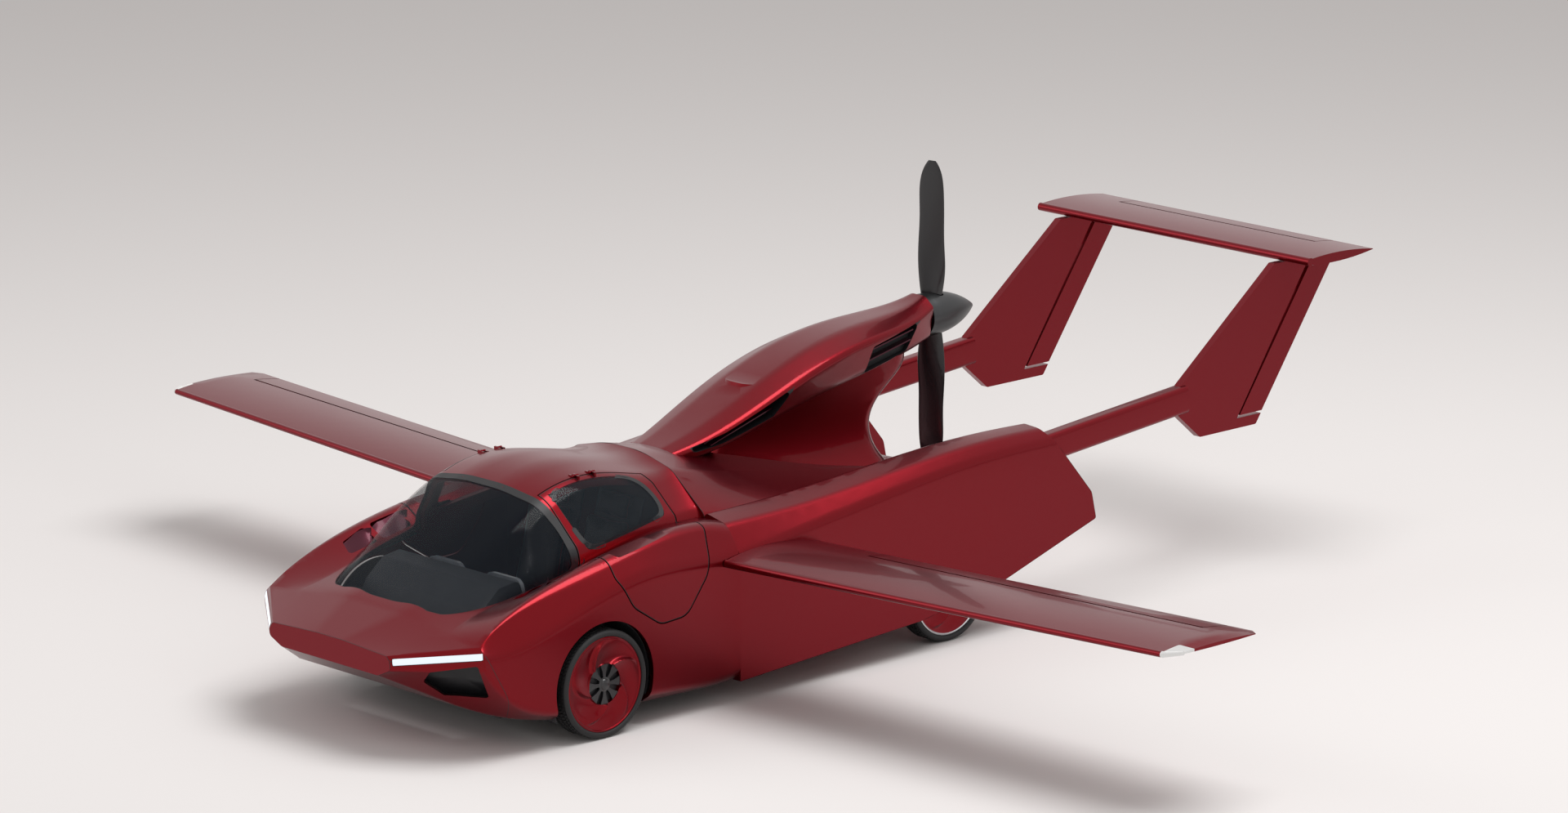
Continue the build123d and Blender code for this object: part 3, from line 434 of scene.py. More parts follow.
def lathe(build: Mesh, profile: Sequence[Place], steps: int, closed: bool = False) -> None:
    """Turn a profile of (radius, distance along X) about the X axis into faces."""
    rings = []
    for index in range(steps):
        turn = 2 * math.pi * index / steps
        rings.append([
            build.verts.new((along, radius * math.cos(turn), radius * math.sin(turn)))
            for radius, along in profile])
    bridge(build, rings, across=closed, along=True)
    bmesh.ops.remove_doubles(build, verts=build.verts, dist=1e-6)


def flooded(build: Mesh, crease_degrees: float) -> list[list[bmesh.types.BMFace]]:
    """Patches of faces that join each other across edges flatter than an angle."""
    limit = math.radians(crease_degrees)
    seen: set[int] = set()
    patches = []
    build.faces.ensure_lookup_table()
    build.faces.index_update()
    for first in build.faces:
        if first.index in seen:
            continue
        seen.add(first.index)
        patch, front = [], [first]
        while front:
            face = front.pop()
            patch.append(face)
            for edge in face.edges:
                if len(edge.link_faces) != 2 or edge.calc_face_angle(0.0) > limit:
                    continue
                for other in edge.link_faces:
                    if other.index not in seen:
                        seen.add(other.index)
                        front.append(other)
        patches.append(patch)
    return patches


def ordered_loops(edges: Sequence[bmesh.types.BMEdge]) -> list[list[Vector]]:
    """Join edges end to end into closed loops of points."""
    links: dict[bmesh.types.BMVert, list[bmesh.types.BMEdge]] = {}
    for edge in edges:
        for vert in edge.verts:
            links.setdefault(vert, []).append(edge)
    left = set(edges)
    loops = []
    while left:
        edge = min(left, key=lambda item: item.index)
        left.discard(edge)
        first, here = edge.verts
        loop = [first.co.copy(), here.co.copy()]
        while here is not first:
            following = [item for item in links[here] if item in left]
            if not following:
                break
            left.discard(following[0])
            here = following[0].other_vert(here)
            loop.append(here.co.copy())
        if here is first:
            loops.append(loop[:-1])
    return loops


@dataclass
class Skin:
    """Outward faces of some CAD nodes, for lines and strips that lie on them."""

    nodes: tuple[str, ...]
    middle_height: float = 0.6
    crease_degrees: float = 34.0
    least_area: float = 0.002
    least_share: float = 0.25

    def __post_init__(self) -> None:
        """Read the nodes and keep their outward faces and the edges round them."""
        corners: list[Vector] = []
        faces: list[tuple[int, ...]] = []
        self.loops: list[list[Vector]] = []
        for node in self.nodes:
            build = cad_mesh(node)
            outward = set()
            for patch in flooded(build, self.crease_degrees):
                if self.faces_out(patch):
                    outward.update(patch)
            build.edges.index_update()
            rims = [edge for edge in build.edges if sum(face in outward for face in edge.link_faces) == 1]
            self.loops += ordered_loops(rims)
            for face in sorted(outward, key=lambda item: item.index):
                start = len(corners)
                corners += [vert.co.copy() for vert in face.verts]
                faces.append(tuple(range(start, start + len(face.verts))))
            build.free()
        self.tree = BVHTree.FromPolygons(corners, faces)

    def faces_out(self, patch: Sequence[bmesh.types.BMFace]) -> bool:
        """Whether a patch looks away from the machine's middle line."""
        total, out = 0.0, 0.0
        for face in patch:
            centre = face.calc_center_median()
            away = (centre - Vector((0.0, centre.y, self.middle_height))).normalized()
            area = face.calc_area()
            total += area
            out += area * face.normal.dot(away)
        return total > self.least_area and out > self.least_share * total

    def longest(self) -> list[Vector]:
        """Longest of the loops."""
        return max(self.loops, key=lambda loop: sum((a - b).length for a, b in zip(loop, loop[1:])))

    def at(self, point: Vector, along: Vector) -> Vector | None:
        """Where a ray from a point meets the skin."""
        return self.tree.ray_cast(point, along)[0]


def resampled(points: Sequence[Vector], step: float) -> list[Vector]:
    """Points at even distances round a closed polyline."""
    path = [*points, points[0]]
    lengths = [0.0]
    for before, after in zip(path, path[1:]):
        lengths.append(lengths[-1] + (after - before).length)
    count = max(3, round(lengths[-1] / step))
    made = []
    span = 0
    for index in range(count):
        want = lengths[-1] * index / count
        while span < len(lengths) - 2 and lengths[span + 1] < want:
            span += 1
        share = (want - lengths[span]) / max(1e-9, lengths[span + 1] - lengths[span])
        made.append(path[span].lerp(path[span + 1], share))
    return made


def strip(build: Mesh, skin: Skin, points: Sequence[Vector], width: float, low: float, high: float,
          centred: bool = False) -> None:
    """Add a closed flat strip that lies along a loop of points on a skin.

    Args:
        build: mesh that takes the strip.
        skin: faces that it lies on.
        points: its edge, or its middle line where centred.
        width: its width.
        low: height of its underside over the skin.
        high: height of its top over the skin.
        centred: whether it spreads to both sides of the points.
    """
    rows = []
    nearest = skin.tree.find_nearest
    for index, point in enumerate(points):
        along = (points[(index + 1) % len(points)] - points[index - 1]).normalized()
        place, normal, _, _ = nearest(point)
        if place is None or along.length == 0:
            continue
        across = normal.cross(along).normalized()
        if centred:
            first, last = nearest(point - across * width / 2)[0], nearest(point + across * width / 2)[0]
        else:
            here, there = nearest(point + across * width)[0], nearest(point - across * width)[0]
            nearer = (here - point - across * width).length <= (there - point + across * width).length
            first, last = place, here if nearer else there
        rows.append([build.verts.new(corner) for corner in (
            first + normal * low, first + normal * high, last + normal * high, last + normal * low)])
    bridge(build, rows, along=True)


def block(build: Mesh, face: Sequence[Vector], push: Vector) -> None:
    """Add a closed prism: a face pushed along a vector."""
    first = [build.verts.new(point) for point in face]
    last = [build.verts.new(point + push) for point in face]
    build.faces.new(first)
    build.faces.new(list(reversed(last)))
    for index in range(len(face)):
        far = (index + 1) % len(face)
        build.faces.new((first[index], last[index], last[far], first[far]))


def finished(name: str, build: Mesh, material: Material,
             crease: float = 35.0) -> Piece:
    """Close a mesh: outward normals, creases, one material."""
    bmesh.ops.recalc_face_normals(build, faces=build.faces)
    smooth_faces(build, crease)
    return mesh_object(name, build, material)


def applied(made: Piece) -> Piece:
    """Turn an object's modifiers into plain mesh."""
    graph = bpy.context.evaluated_depsgraph_get()
    mesh = bpy.data.meshes.new_from_object(made.evaluated_get(graph))
    made.modifiers.clear()
    old = made.data
    made.data = mesh
    bpy.data.meshes.remove(old)
    return made


def ring_of(source: Piece, count: int, piece: str, material: Material) -> Piece:
    """Copies of a mesh set evenly round the X axis, made by Geometry Nodes.

    Args:
        source: the mesh to repeat, which is removed afterwards.
        count: how many copies.
        piece: name of the new piece.
        material: its material.

    Returns:
        One plain mesh object with all the copies.
    """
    group = bpy.data.node_groups.new("ring_of_copies", "GeometryNodeTree")
    group.interface.new_socket("Geometry", in_out="OUTPUT", socket_type="NodeSocketGeometry")
    number = group.interface.new_socket("Count", in_out="INPUT", socket_type="NodeSocketInt")
    shape = group.interface.new_socket("Shape", in_out="INPUT", socket_type="NodeSocketObject")
    nodes = NodeTree(group)
    entry = nodes.node("NodeGroupInput")
    info = nodes.node("GeometryNodeObjectInfo", None, {"Object": entry.outputs["Shape"]})
    points = nodes.node("GeometryNodePoints", None, {"Count": entry.outputs["Count"]})
    share = Value(nodes, nodes.node("GeometryNodeInputIndex").outputs[0]) / entry.outputs["Count"]
    turn = nodes.node("ShaderNodeCombineXYZ", None, {"X": share * (2 * math.pi)})
    placed = nodes.node("GeometryNodeInstanceOnPoints", None, {
        "Points": points.outputs[0], "Instance": info.outputs["Geometry"], "Rotation": turn.outputs[0]})
    real = nodes.node("GeometryNodeRealizeInstances", None, {"Geometry": placed.outputs[0]})
    dressed = nodes.node("GeometryNodeSetMaterial", None, {"Geometry": real.outputs[0], "Material": material})
    nodes.node("NodeGroupOutput", None, {"Geometry": dressed.outputs[0]})
    made = bpy.data.objects.new(piece, bpy.data.meshes.new(piece))
    bpy.context.scene.collection.objects.link(made)
    modifier = made.modifiers.new("ring", "NODES")
    modifier.node_group = group
    modifier[number.identifier] = count
    modifier[shape.identifier] = source
    applied(made)
    bpy.data.objects.remove(source)
    return made


def seat_on(made: Piece, body: str, slot: str, *nodes: str) -> Piece:
    """Make a piece ride on a body and stand for nodes."""
    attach(made, body)
    if nodes:
        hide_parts(*nodes)
    return made


@dataclass
class Studio:
    """Camera, floor and soft light."""

    sensor: float = 36.0
    lens: float = 155.6
    azimuth: float = 46.375
    elevation: float = 13.479
    distance: float = 38.064
    target: Point = (0.1575, -0.3413, 1.3490)
    floor_half: float = 260.0
    floor_colour: Colour = (0.78, 0.755, 0.745)
    sky_colour: Colour = (0.80, 0.775, 0.765)

    def build(self) -> None:
        """Make the camera, floor, world and lamps."""
        self.camera()
        self.floor()
        self.world()
        self.lamp("key_light", (4.5, 2.0, 17.0), (0.0, 0.0, 0.8), (11.0, 11.0), 2150.0)
        self.lamp("side_strip", (19.0, -5.0, 12.0), (0.0, -1.0, 0.6), (4.0, 14.0), 260.0)
        self.lamp("fill_light", (-12.0, -14.0, 9.0), (0.0, -1.0, 0.8), (12.0, 12.0), 700.0)
        bpy.context.scene.view_settings.view_transform = "Standard"

    def camera(self) -> None:
        """Camera at the photograph's angle."""
        data = bpy.data.cameras.new("camera")
        data.lens = self.lens
        data.sensor_width = self.sensor
        data.clip_end = 600.0
        made = bpy.data.objects.new("camera", data)
        turn, lift = math.radians(self.azimuth), math.radians(self.elevation)
        back = Vector((math.sin(turn) * math.cos(lift), -math.cos(turn) * math.cos(lift), math.sin(lift)))
        made.location = Vector(self.target) + back * self.distance
        made.rotation_mode = "QUATERNION"
        made.rotation_quaternion = (-back).to_track_quat("-Z", "Y")
        bpy.context.scene.collection.objects.link(made)
        bpy.context.scene.camera = made

    def floor(self) -> None:
        """Plain pale floor."""
        build = bmesh.new()
        half = self.floor_half
        build.faces.new([build.verts.new((x, y, 0.0)) for x, y in (
            (-half, -half), (half, -half), (half, half), (-half, half))])
        shader = Shader("floor")
        shader.set(Base_Color=self.floor_colour, Roughness=0.9, Specular_IOR_Level=0.0)
        mesh_object("floor", build, shader.material)

    def world(self) -> None:
        """Even pale sky."""
        world = bpy.data.worlds.new("sky")
        world.use_nodes = True
        nodes = NodeTree(world.node_tree)
        nodes.tree.nodes.clear()
        sky = nodes.node("ShaderNodeBackground", None, {"Color": self.sky_colour, "Strength": 0.62})
        plain = nodes.node("ShaderNodeBackground", None, {"Color": self.sky_colour, "Strength": 1.0})
        path = nodes.node("ShaderNodeLightPath")
        seen = sum((Value(nodes, path.outputs[name]) for name in (
            "Is Camera Ray", "Is Glossy Ray", "Is Transmission Ray")), 0.0)
        mixed = nodes.node("ShaderNodeMixShader", None, {0: seen, 1: sky.outputs[0], 2: plain.outputs[0]})
        nodes.node("ShaderNodeOutputWorld", None, {"Surface": mixed.outputs[0]})
        bpy.context.scene.world = world

    def lamp(self, name: str, place: Point, aim: Point, size: tuple[float, float], power: float) -> None:
        """Add one soft area lamp."""
        data = bpy.data.lights.new(name, "AREA")
        data.shape = "RECTANGLE"
        data.size, data.size_y = size
        data.energy = power
        made = bpy.data.objects.new(name, data)
        made.location = place
        made.rotation_mode = "QUATERNION"
        made.rotation_quaternion = (Vector(aim) - Vector(place)).to_track_quat("-Z", "Y")
        bpy.context.scene.collection.objects.link(made)


@dataclass
class Bodywork:
    """Painted panels, each a smooth copy of its CAD node."""

    finishes: Finishes
    painted: tuple[str, ...] = (
        "bonnet", "front_bumper", "fender_left", "fender_right", "cabin_shell", "door_left", "door_right",
        "side_box_left", "side_box_right", "rear_fuselage", "wing_left", "wing_right",
        "aileron_left", "aileron_right", "boom_left", "boom_right", "fin_left", "fin_right",
        "rudder_left", "rudder_right", "tailplane", "elevator")

    def build(self) -> None:
        """Make every painted panel."""
        for node in self.painted:
            panel = merged_copy(node, f"{node}_panel", self.finishes.paint)
            log.info("panel %s", panel.name)


@dataclass
class ShutLines:
    """Dark joints between painted panels, and black borders round the glass."""

    finishes: Finishes
    joint_width: float = 0.0035
    joint_height: float = 0.0003
    depth: float = 0.0015
    border_width: float = 0.030
    border_height: float = 0.0005
    windscreen_share: float = 1.6
    evening: int = 40
    step: float = 0.012
    panels: tuple[tuple[str, str], ...] = (
        ("bonnet", "root"), ("front_bumper", "root"), ("side_box_left", "root"), ("side_box_right", "root"),
        ("rear_fuselage", "root"), ("door_left", "door_left"), ("door_right", "door_right"))
    panes: tuple[tuple[str, str, tuple[str, ...], float], ...] = (
        ("windscreen", "root", ("windscreen", "bonnet", "cabin_shell"), 50.0),
        ("door_glass_left", "door_left", ("door_glass_left", "door_left"), 34.0),
        ("door_glass_right", "door_right", ("door_glass_right", "door_right"), 34.0))

    def build(self) -> None:
        """Make the joints and the borders."""
        for node, body in self.panels:
            self.joint(node, body)
        for node, body, around, crease in self.panes:
            self.border(node, body, around, crease)

    def joint(self, node: str, body: str) -> None:
        """Lay a dark joint inside the longest edge of a panel's outer face."""
        skin = Skin((node,))
        build = bmesh.new()
        strip(build, skin, resampled(skin.longest(), self.step), self.joint_width, -self.depth, self.joint_height)
        seat_on(finished(f"{node}_joint", build, self.finishes.shut_line), body, "underbody")
        log.info("joint %s", node)

    def border(self, node: str, body: str, around: tuple[str, ...], crease: float) -> None:
        """Lay a black border along the evened outline of a pane, over its edge."""
        points = resampled(Skin((node,), crease_degrees=crease).longest(), self.step)
        count = len(points)
        for _ in range(self.evening):
            points = [(points[index - 1] + points[index] * 2 + points[(index + 1) % count]) / 4
                      for index in range(count)]
        build = bmesh.new()
        width = self.border_width * (self.windscreen_share if node == "windscreen" else 1.0)
        strip(build, Skin(around), points, width, -self.depth, self.border_height, centred=True)
        seat_on(finished(f"{node}_border", build, self.finishes.frit), body, "glass")
        log.info("border %s", node)


@dataclass
class ArchLiners:
    """Black liners in the front wheel arches."""

    finishes: Finishes
    radius: float = 0.352
    hole: float = 0.205
    inner: float = 0.640
    outer: float = 0.915
    wall: float = 0.003
    steps: int = 72
    start_degrees: float = -28.0
    end_degrees: float = 208.0

    def build(self) -> None:
        """Make a liner on each side."""
        for side in Side:
            low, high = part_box(f"rim_front_{side.word}")
            centre = (low + high) / 2
            build = bmesh.new()
            rows = []
            for index in range(self.steps + 1):
                turn = math.radians(
                    self.start_degrees + (self.end_degrees - self.start_degrees) * index / self.steps)
                spoke = Vector((0.0, math.cos(turn), math.sin(turn)))
                rows.append([
                    build.verts.new(Vector((side.value * x, centre.y, centre.z)) + spoke * radius)
                    for x, radius in (
                        (self.outer, self.radius), (self.inner, self.radius), (self.inner, self.hole),
                        (self.inner + self.wall, self.hole), (self.inner + self.wall, self.radius - self.wall),
                        (self.outer, self.radius - self.wall))])
            bridge(build, rows)
            build.faces.new(rows[0])
            build.faces.new(list(reversed(rows[-1])))
            seat_on(finished(f"arch_liner_{side.word}", build, self.finishes.underbody), "root", "underbody")


@dataclass
class CornerDucts:
    """Black ducts behind the corner intakes of the bumper, near-black as painted shade of the intakes."""

    finishes: Finishes
    corner: Point = (0.512, -3.542, 0.0)
    run: Place = (0.392, 0.292)
    mouth: tuple[Place, ...] = (
        (0.140, 0.425), (0.194, 0.508), (0.470, 0.557), (0.510, 0.337), (0.246, 0.337))
    reach: float = 0.5
    set_in: float = 0.012
    depth: float = 0.075
    least: float = 0.06
    default: float = 0.10
    wall: float = 0.003

    def build(self) -> None:
        """Make the duct on both sides."""
        skin = Skin(("front_bumper",))
        along = Vector((*self.run, 0.0)).normalized()
        inward = Vector((-along.y, along.x, 0.0))
        ring = resampled([Vector(self.corner) + along * r + Vector((0, 0, z)) for r, z in self.mouth], 0.02)
        fronts, backs = [], []
        for point in ring:
            hit = skin.at(point - inward * self.reach, inward)
            depth = (hit - point).dot(inward) if hit is not None else self.default
            fronts.append(point + inward * (depth + self.set_in))
            backs.append(point + inward * (max(depth, self.least) + self.depth))
        middle = sum(backs, Vector()) / len(backs)
        for side in Side:
            flip = Vector((side.value, 1.0, 1.0))
            build = bmesh.new()
            rows = [[build.verts.new(p * flip) for p in row]
                    for row in (fronts, backs, [b.lerp(middle, 0.35) for b in backs])]
            tip = build.verts.new(middle * flip)
            bridge(build, rows)
            for index in range(len(ring)):
                build.faces.new((rows[-1][index], tip, rows[-1][(index + 1) % len(ring)]))
            # Near-black duct: painted shade inside the intake.
            made = finished(f"corner_duct_{side.word}", build, self.finishes.void, 30.0)
            thicken = made.modifiers.new("wall", "SOLIDIFY")
            thicken.thickness = self.wall
            thicken.offset = 0.0
            seat_on(applied(made), "root", "underbody")


@dataclass
class FenderLouvres:
    """Near-black beds, painted shade under the openings in the fender tops, and raised blades in a darker copy of
    the paint, painted shade of the recess.
    """

    finishes: Finishes
    inner_x: float = 0.652
    outer_x: float = 0.800
    middle_x: float = 0.728
    margin: float = 0.012
    probe_height: float = 1.6
    default_height: float = 0.85
    spans: tuple[Place, ...] = ((0.670, 0.888), (0.912, 1.148))
    sink: float = 0.045
    rise: float = 0.016
    thick: float = 0.003
    rows: int = 18
    columns: int = 8

    def build(self) -> None:
        """Make a bed and a blade for each opening."""
        for side in Side:
            skin = Skin((f"fender_{side.word}",))
            for number, (start, end) in enumerate(self.spans, 1):
                # The bed's near-black is painted shade under the opening; the blade's darker paint is painted shade
                # of the recess.
                self.sheet(skin, side, start, end, f"louvre_bed_{side.word}_{number}", self.finishes.void, False)
                self.sheet(skin, side, start, end, f"louvre_blade_{side.word}_{number}", self.finishes.plum, True)

    def height(self, skin: Skin, x: float, y: float) -> float:
        """Height of the fender's top skin."""
        hit = skin.at(Vector((x, y, self.probe_height)), Vector((0.0, 0.0, -1.0)))
        return hit.z if hit is not None else self.default_height

    def sheet(self, skin: Skin, side: Side, start: float, end: float, piece: str,
              material: Material, blade: bool) -> None:
        """Make one bed or blade as a thin closed sheet."""
        tops = []
        for row in range(self.rows + 1):
            share = row / self.rows
            y = start + (end - start) * share - STATION_ORIGIN
            low_z = self.height(skin, side.value * self.inner_x, y)
            high_z = self.height(skin, side.value * (self.outer_x + self.margin), y)
            line = []
            for column in range(self.columns + 1):
                part = column / self.columns
                reach = self.inner_x + (self.outer_x - self.inner_x) * part
                level = low_z + (high_z - low_z) * part
                if blade:
                    edge = math.sin(math.pi * min(1.0, 0.06 + share * 0.94)) ** 0.5
                    reach = self.middle_x + (reach - self.middle_x) * 0.86 * edge
                    level += (self.rise + self.sink * 0.5) * share ** 1.6 * (1 - part * 0.5) - self.sink * 0.5
                else:
                    level -= self.sink
                line.append(Vector((side.value * reach, y, level)))
            tops.append(line)
        build = bmesh.new()
        upper = [[build.verts.new(point) for point in line] for line in tops]
        lower = [[build.verts.new(point - Vector((0, 0, self.thick))) for point in line] for line in tops]
        rims = []
        for sheet in (upper, lower):
            bridge(build, sheet, across=False)
            rims.append(sheet[0] + [line[-1] for line in sheet[1:]] + sheet[-1][-2::-1]
                        + [line[0] for line in sheet[-2:0:-1]])
        bridge(build, rims)
        bmesh.ops.remove_doubles(build, verts=build.verts, dist=1e-5)
        seat_on(finished(piece, build, material), "root", "paint" if blade else "underbody")


@dataclass
class PodOpenings:
    """Near-black lining of the pod's side pockets, painted shade in them, with splitter blades in a darker copy of
    the paint, painted shade of the pockets.
    """

    finishes: Finishes
    lining: float = 0.002
    growth: float = 1.012
    openings: tuple[tuple[float, tuple[Place, ...]], ...] = (
        (0.140, ((2.420, 1.245), (2.640, 1.302), (2.980, 1.432), (3.140, 1.492), (3.010, 1.335),
                 (2.640, 1.238), (2.450, 1.215))),
        (0.125, ((3.810, 1.605), (4.240, 1.680), (4.140, 1.515), (3.770, 1.440))))
    blades: tuple[tuple[float, float, tuple[Place, ...]], ...] = (
        (0.138, 0.205, ((2.520, 1.256), (3.060, 1.428), (3.062, 1.420), (2.522, 1.250))),
        (0.138, 0.215, ((2.560, 1.240), (3.030, 1.378), (3.032, 1.370), (2.562, 1.234))),
        (0.123, 0.165, ((3.805, 1.560), (4.190, 1.640), (4.190, 1.632), (3.805, 1.552))),
        (0.123, 0.170, ((3.790, 1.505), (4.165, 1.585), (4.165, 1.577), (3.790, 1.497))))

    def inside(self, point: Vector) -> bool:
        """Whether a point of the pod lies in one of the pockets."""
        for start, outline in self.openings:
            if abs(point.x) < start - self.lining:
                continue
            middle = Vector((sum(s for s, z in outline), sum(z for s, z in outline))) / len(outline)
            grown = [middle + (Vector(corner) - middle) * self.growth for corner in outline]
            station, height, crossings = point.y + STATION_ORIGIN, point.z, 0
            for index, here in enumerate(grown):
                there = grown[(index + 1) % len(grown)]
                if (here.y > height) != (there.y > height):
                    share = (height - here.y) / (there.y - here.y)
                    crossings += station < here.x + (there.x - here.x) * share
            if crossings % 2:
                return True
        return False

    def build(self) -> None:
        """Split the pod into its painted skin and the lining of its pockets."""
        # The pocket faces take near-black, painted shade inside the pockets.
        for lining, piece, material in (
                (False, "pylon_pod_panel", self.finishes.paint), (True, "pod_pocket_lining", self.finishes.void)):
            build = cad_mesh("pylon_pod")
            smooth_faces(build, CAD_CREASE)
            drop = [face for face in build.faces if self.inside(face.calc_center_median()) is not lining]
            bmesh.ops.delete(build, geom=drop, context="FACES")
            made = mesh_object(piece, build, material)
            if lining:
                seat_on(made, "root", "underbody")
            else:
                seat_on(made, "root", "paint", "pylon_pod")
        build = bmesh.new()
        for side in Side:
            for start, end, outline in self.blades:
                face = [Vector((side.value * start, s - STATION_ORIGIN, z)) for s, z in outline]
                block(build, face, Vector((side.value * (end - start), 0.0, 0.0)))
        # Splitters in the darker copy of the paint: painted shade of the pockets.
        seat_on(finished("pod_splitters", build, self.finishes.plum), "root", "paint")


@dataclass
class Seats:
    """Two padded seats: a cushion, a back and a headrest each, on a moulded shell."""

    finishes: Finishes
    seat_x: float = 0.240
    pressure: float = 4.0
    voxel: float = 0.008
    cap: float = 0.014
    frames: int = 20
    cuts: int = 9
    pull: float = 0.05
    crown: float = 0.22
    tube: float = 0.003
    tube_sides: int = 8
    shell_half: float = 0.180
    pads: tuple[tuple[str, Point, Point, float], ...] = (
        ("cushion", (0.0, -2.085, 0.405), (0.335, 0.440, 0.105), 4.0),
        ("back", (0.0, -1.795, 0.730), (0.325, 0.090, 0.500), 14.0),
        ("headrest", (0.0, -1.700, 1.035), (0.215, 0.070, 0.120), 14.0))

    def build(self) -> None:
        """Make both seats."""
        for name, centre, size, lean in self.pads:
            source = self.pad(name, size)
            tilt = Matrix.Translation(Vector(centre)) @ Matrix.Rotation(
                math.radians(-lean if name != "cushion" else lean), 4, "X")
            source.data.transform(tilt)
            for side in Side:
                made = source.copy()
                made.data = source.data.copy()
                made.name = f"seat_{name}_{side.word}"
                made.data.transform(Matrix.Translation((side.value * self.seat_x, 0.0, 0.0)))
                bpy.context.scene.collection.objects.link(made)
                seat_on(made, "root", "seat", "seats")
                self.piping(made, name, side, centre, tilt)
                log.info("pad %s", made.name)
            bpy.data.objects.remove(source)
        self.shells()

    def pad(self, name: str, size: Point) -> Piece:
        """Crowned closed pad with pulled-in sides, puffed by cloth pressure in a full run."""
        build = bmesh.new()
        bmesh.ops.create_cube(build, size=1.0)
        bmesh.ops.subdivide_edges(build, edges=build.edges, cuts=self.cuts, use_grid_fill=True)
        flat, thin = (1, 2) if size[2] < size[1] else (2, 1)
        for vert in build.verts:
            at = vert.co * 2
            pull = 1 - self.pull * (1 - abs(at[0] * at[flat]) ** 0.5)
            scale = [pull, pull, pull]
            scale[thin] = 1 - self.crown * max(at[0] * at[0], at[flat] * at[flat]) ** 3
            vert.co = Vector([at[axis] * size[axis] * scale[axis] for axis in range(3)]) / 2
        bmesh.ops.recalc_face_normals(build, faces=build.faces)
        smooth_faces(build, 60.0)
        made = mesh_object(f"pad_{name}", build, self.finishes.hide)
        rounding = made.modifiers.new("round", "SUBSURF")
        rounding.levels = rounding.render_levels = 1
        applied(made)
        self.puff(made)
        return made

    def puff(self, made: Piece) -> None:
        """Swell a pad with cloth pressure, with a cap on how far a point moves."""
        remesh = made.modifiers.new("voxels", "REMESH")
        remesh.mode = "VOXEL"
        remesh.voxel_size = self.voxel
        applied(made)
        before = [vert.co.copy() for vert in made.data.vertices]
        cloth = made.modifiers.new("cloth", "CLOTH")
        cloth.settings.use_pressure = True
        cloth.settings.uniform_pressure_force = self.pressure
        cloth.settings.effector_weights.gravity = 0.0
        scene = bpy.context.scene
        for number in range(1, self.frames + 1):
            scene.frame_set(number)
        applied(made)
        scene.frame_set(1)
        for vert, start in zip(made.data.vertices, before):
            move = vert.co - start
            if move.length > self.cap:
                vert.co = start + move.normalized() * self.cap
        for polygon in made.data.polygons:
            polygon.use_smooth = True

    def piping(self, pad: Piece, name: str, side: Side, centre: Point, tilt: Matrix) -> None:
        """Sewn piping round a pad, where its middle plane meets it."""
        build = bmesh.new()
        build.from_mesh(pad.data)
        normal = tilt.to_3x3() @ Vector((0.0, 0.0, 1.0) if name == "cushion" else (0.0, 1.0, 0.0))
        middle = Vector(centre) + Vector((side.value * self.seat_x, 0.0, 0.0))
        cut = bmesh.ops.bisect_plane(
            build, geom=list(build.verts) + list(build.edges) + list(build.faces), plane_co=middle, plane_no=normal)
        build.edges.index_update()
        edges = [item for item in cut["geom_cut"] if isinstance(item, bmesh.types.BMEdge)]
        loops = ordered_loops(edges)
        build.free()
        if not loops:
            return
        path = resampled(max(loops, key=len), 0.008)
        tube = bmesh.new()
        rings = []
        for index, point in enumerate(path):
            along = (path[(index + 1) % len(path)] - path[index - 1]).normalized()
            out = along.cross(normal).normalized()
            rings.append([
                tube.verts.new(point + (out * math.cos(turn) + normal * math.sin(turn)) * self.tube)
                for turn in (2 * math.pi * k / self.tube_sides for k in range(self.tube_sides))])
        bridge(tube, rings, along=True)
        seat_on(finished(f"seat_{name}_piping_{side.word}", tube, self.finishes.piping, 80.0), "root", "seat")

    def shells(self) -> None:
        """Moulded seat shells that carry the pads."""
        profile = (
            (-2.325, 0.170), (-2.325, 0.335), (-2.290, 0.350), (-1.880, 0.335), (-1.835, 0.420), (-1.735, 0.830),
            (-1.655, 1.095), (-1.640, 1.090), (-1.700, 0.820), (-1.790, 0.330), (-1.800, 0.170))
        for side in Side:
            build = bmesh.new()
            left = side.value * self.seat_x - self.shell_half
            block(build, [Vector((left, y, z)) for y, z in profile], Vector((2 * self.shell_half, 0.0, 0.0)))
            bmesh.ops.recalc_face_normals(build, faces=build.faces)
            made = mesh_object(f"seat_shell_{side.word}", build, self.finishes.dark_trim)
            bevel = made.modifiers.new("edge", "BEVEL")
            bevel.width = 0.012
            bevel.segments = 3
            seat_on(applied(made), "root", "seat")


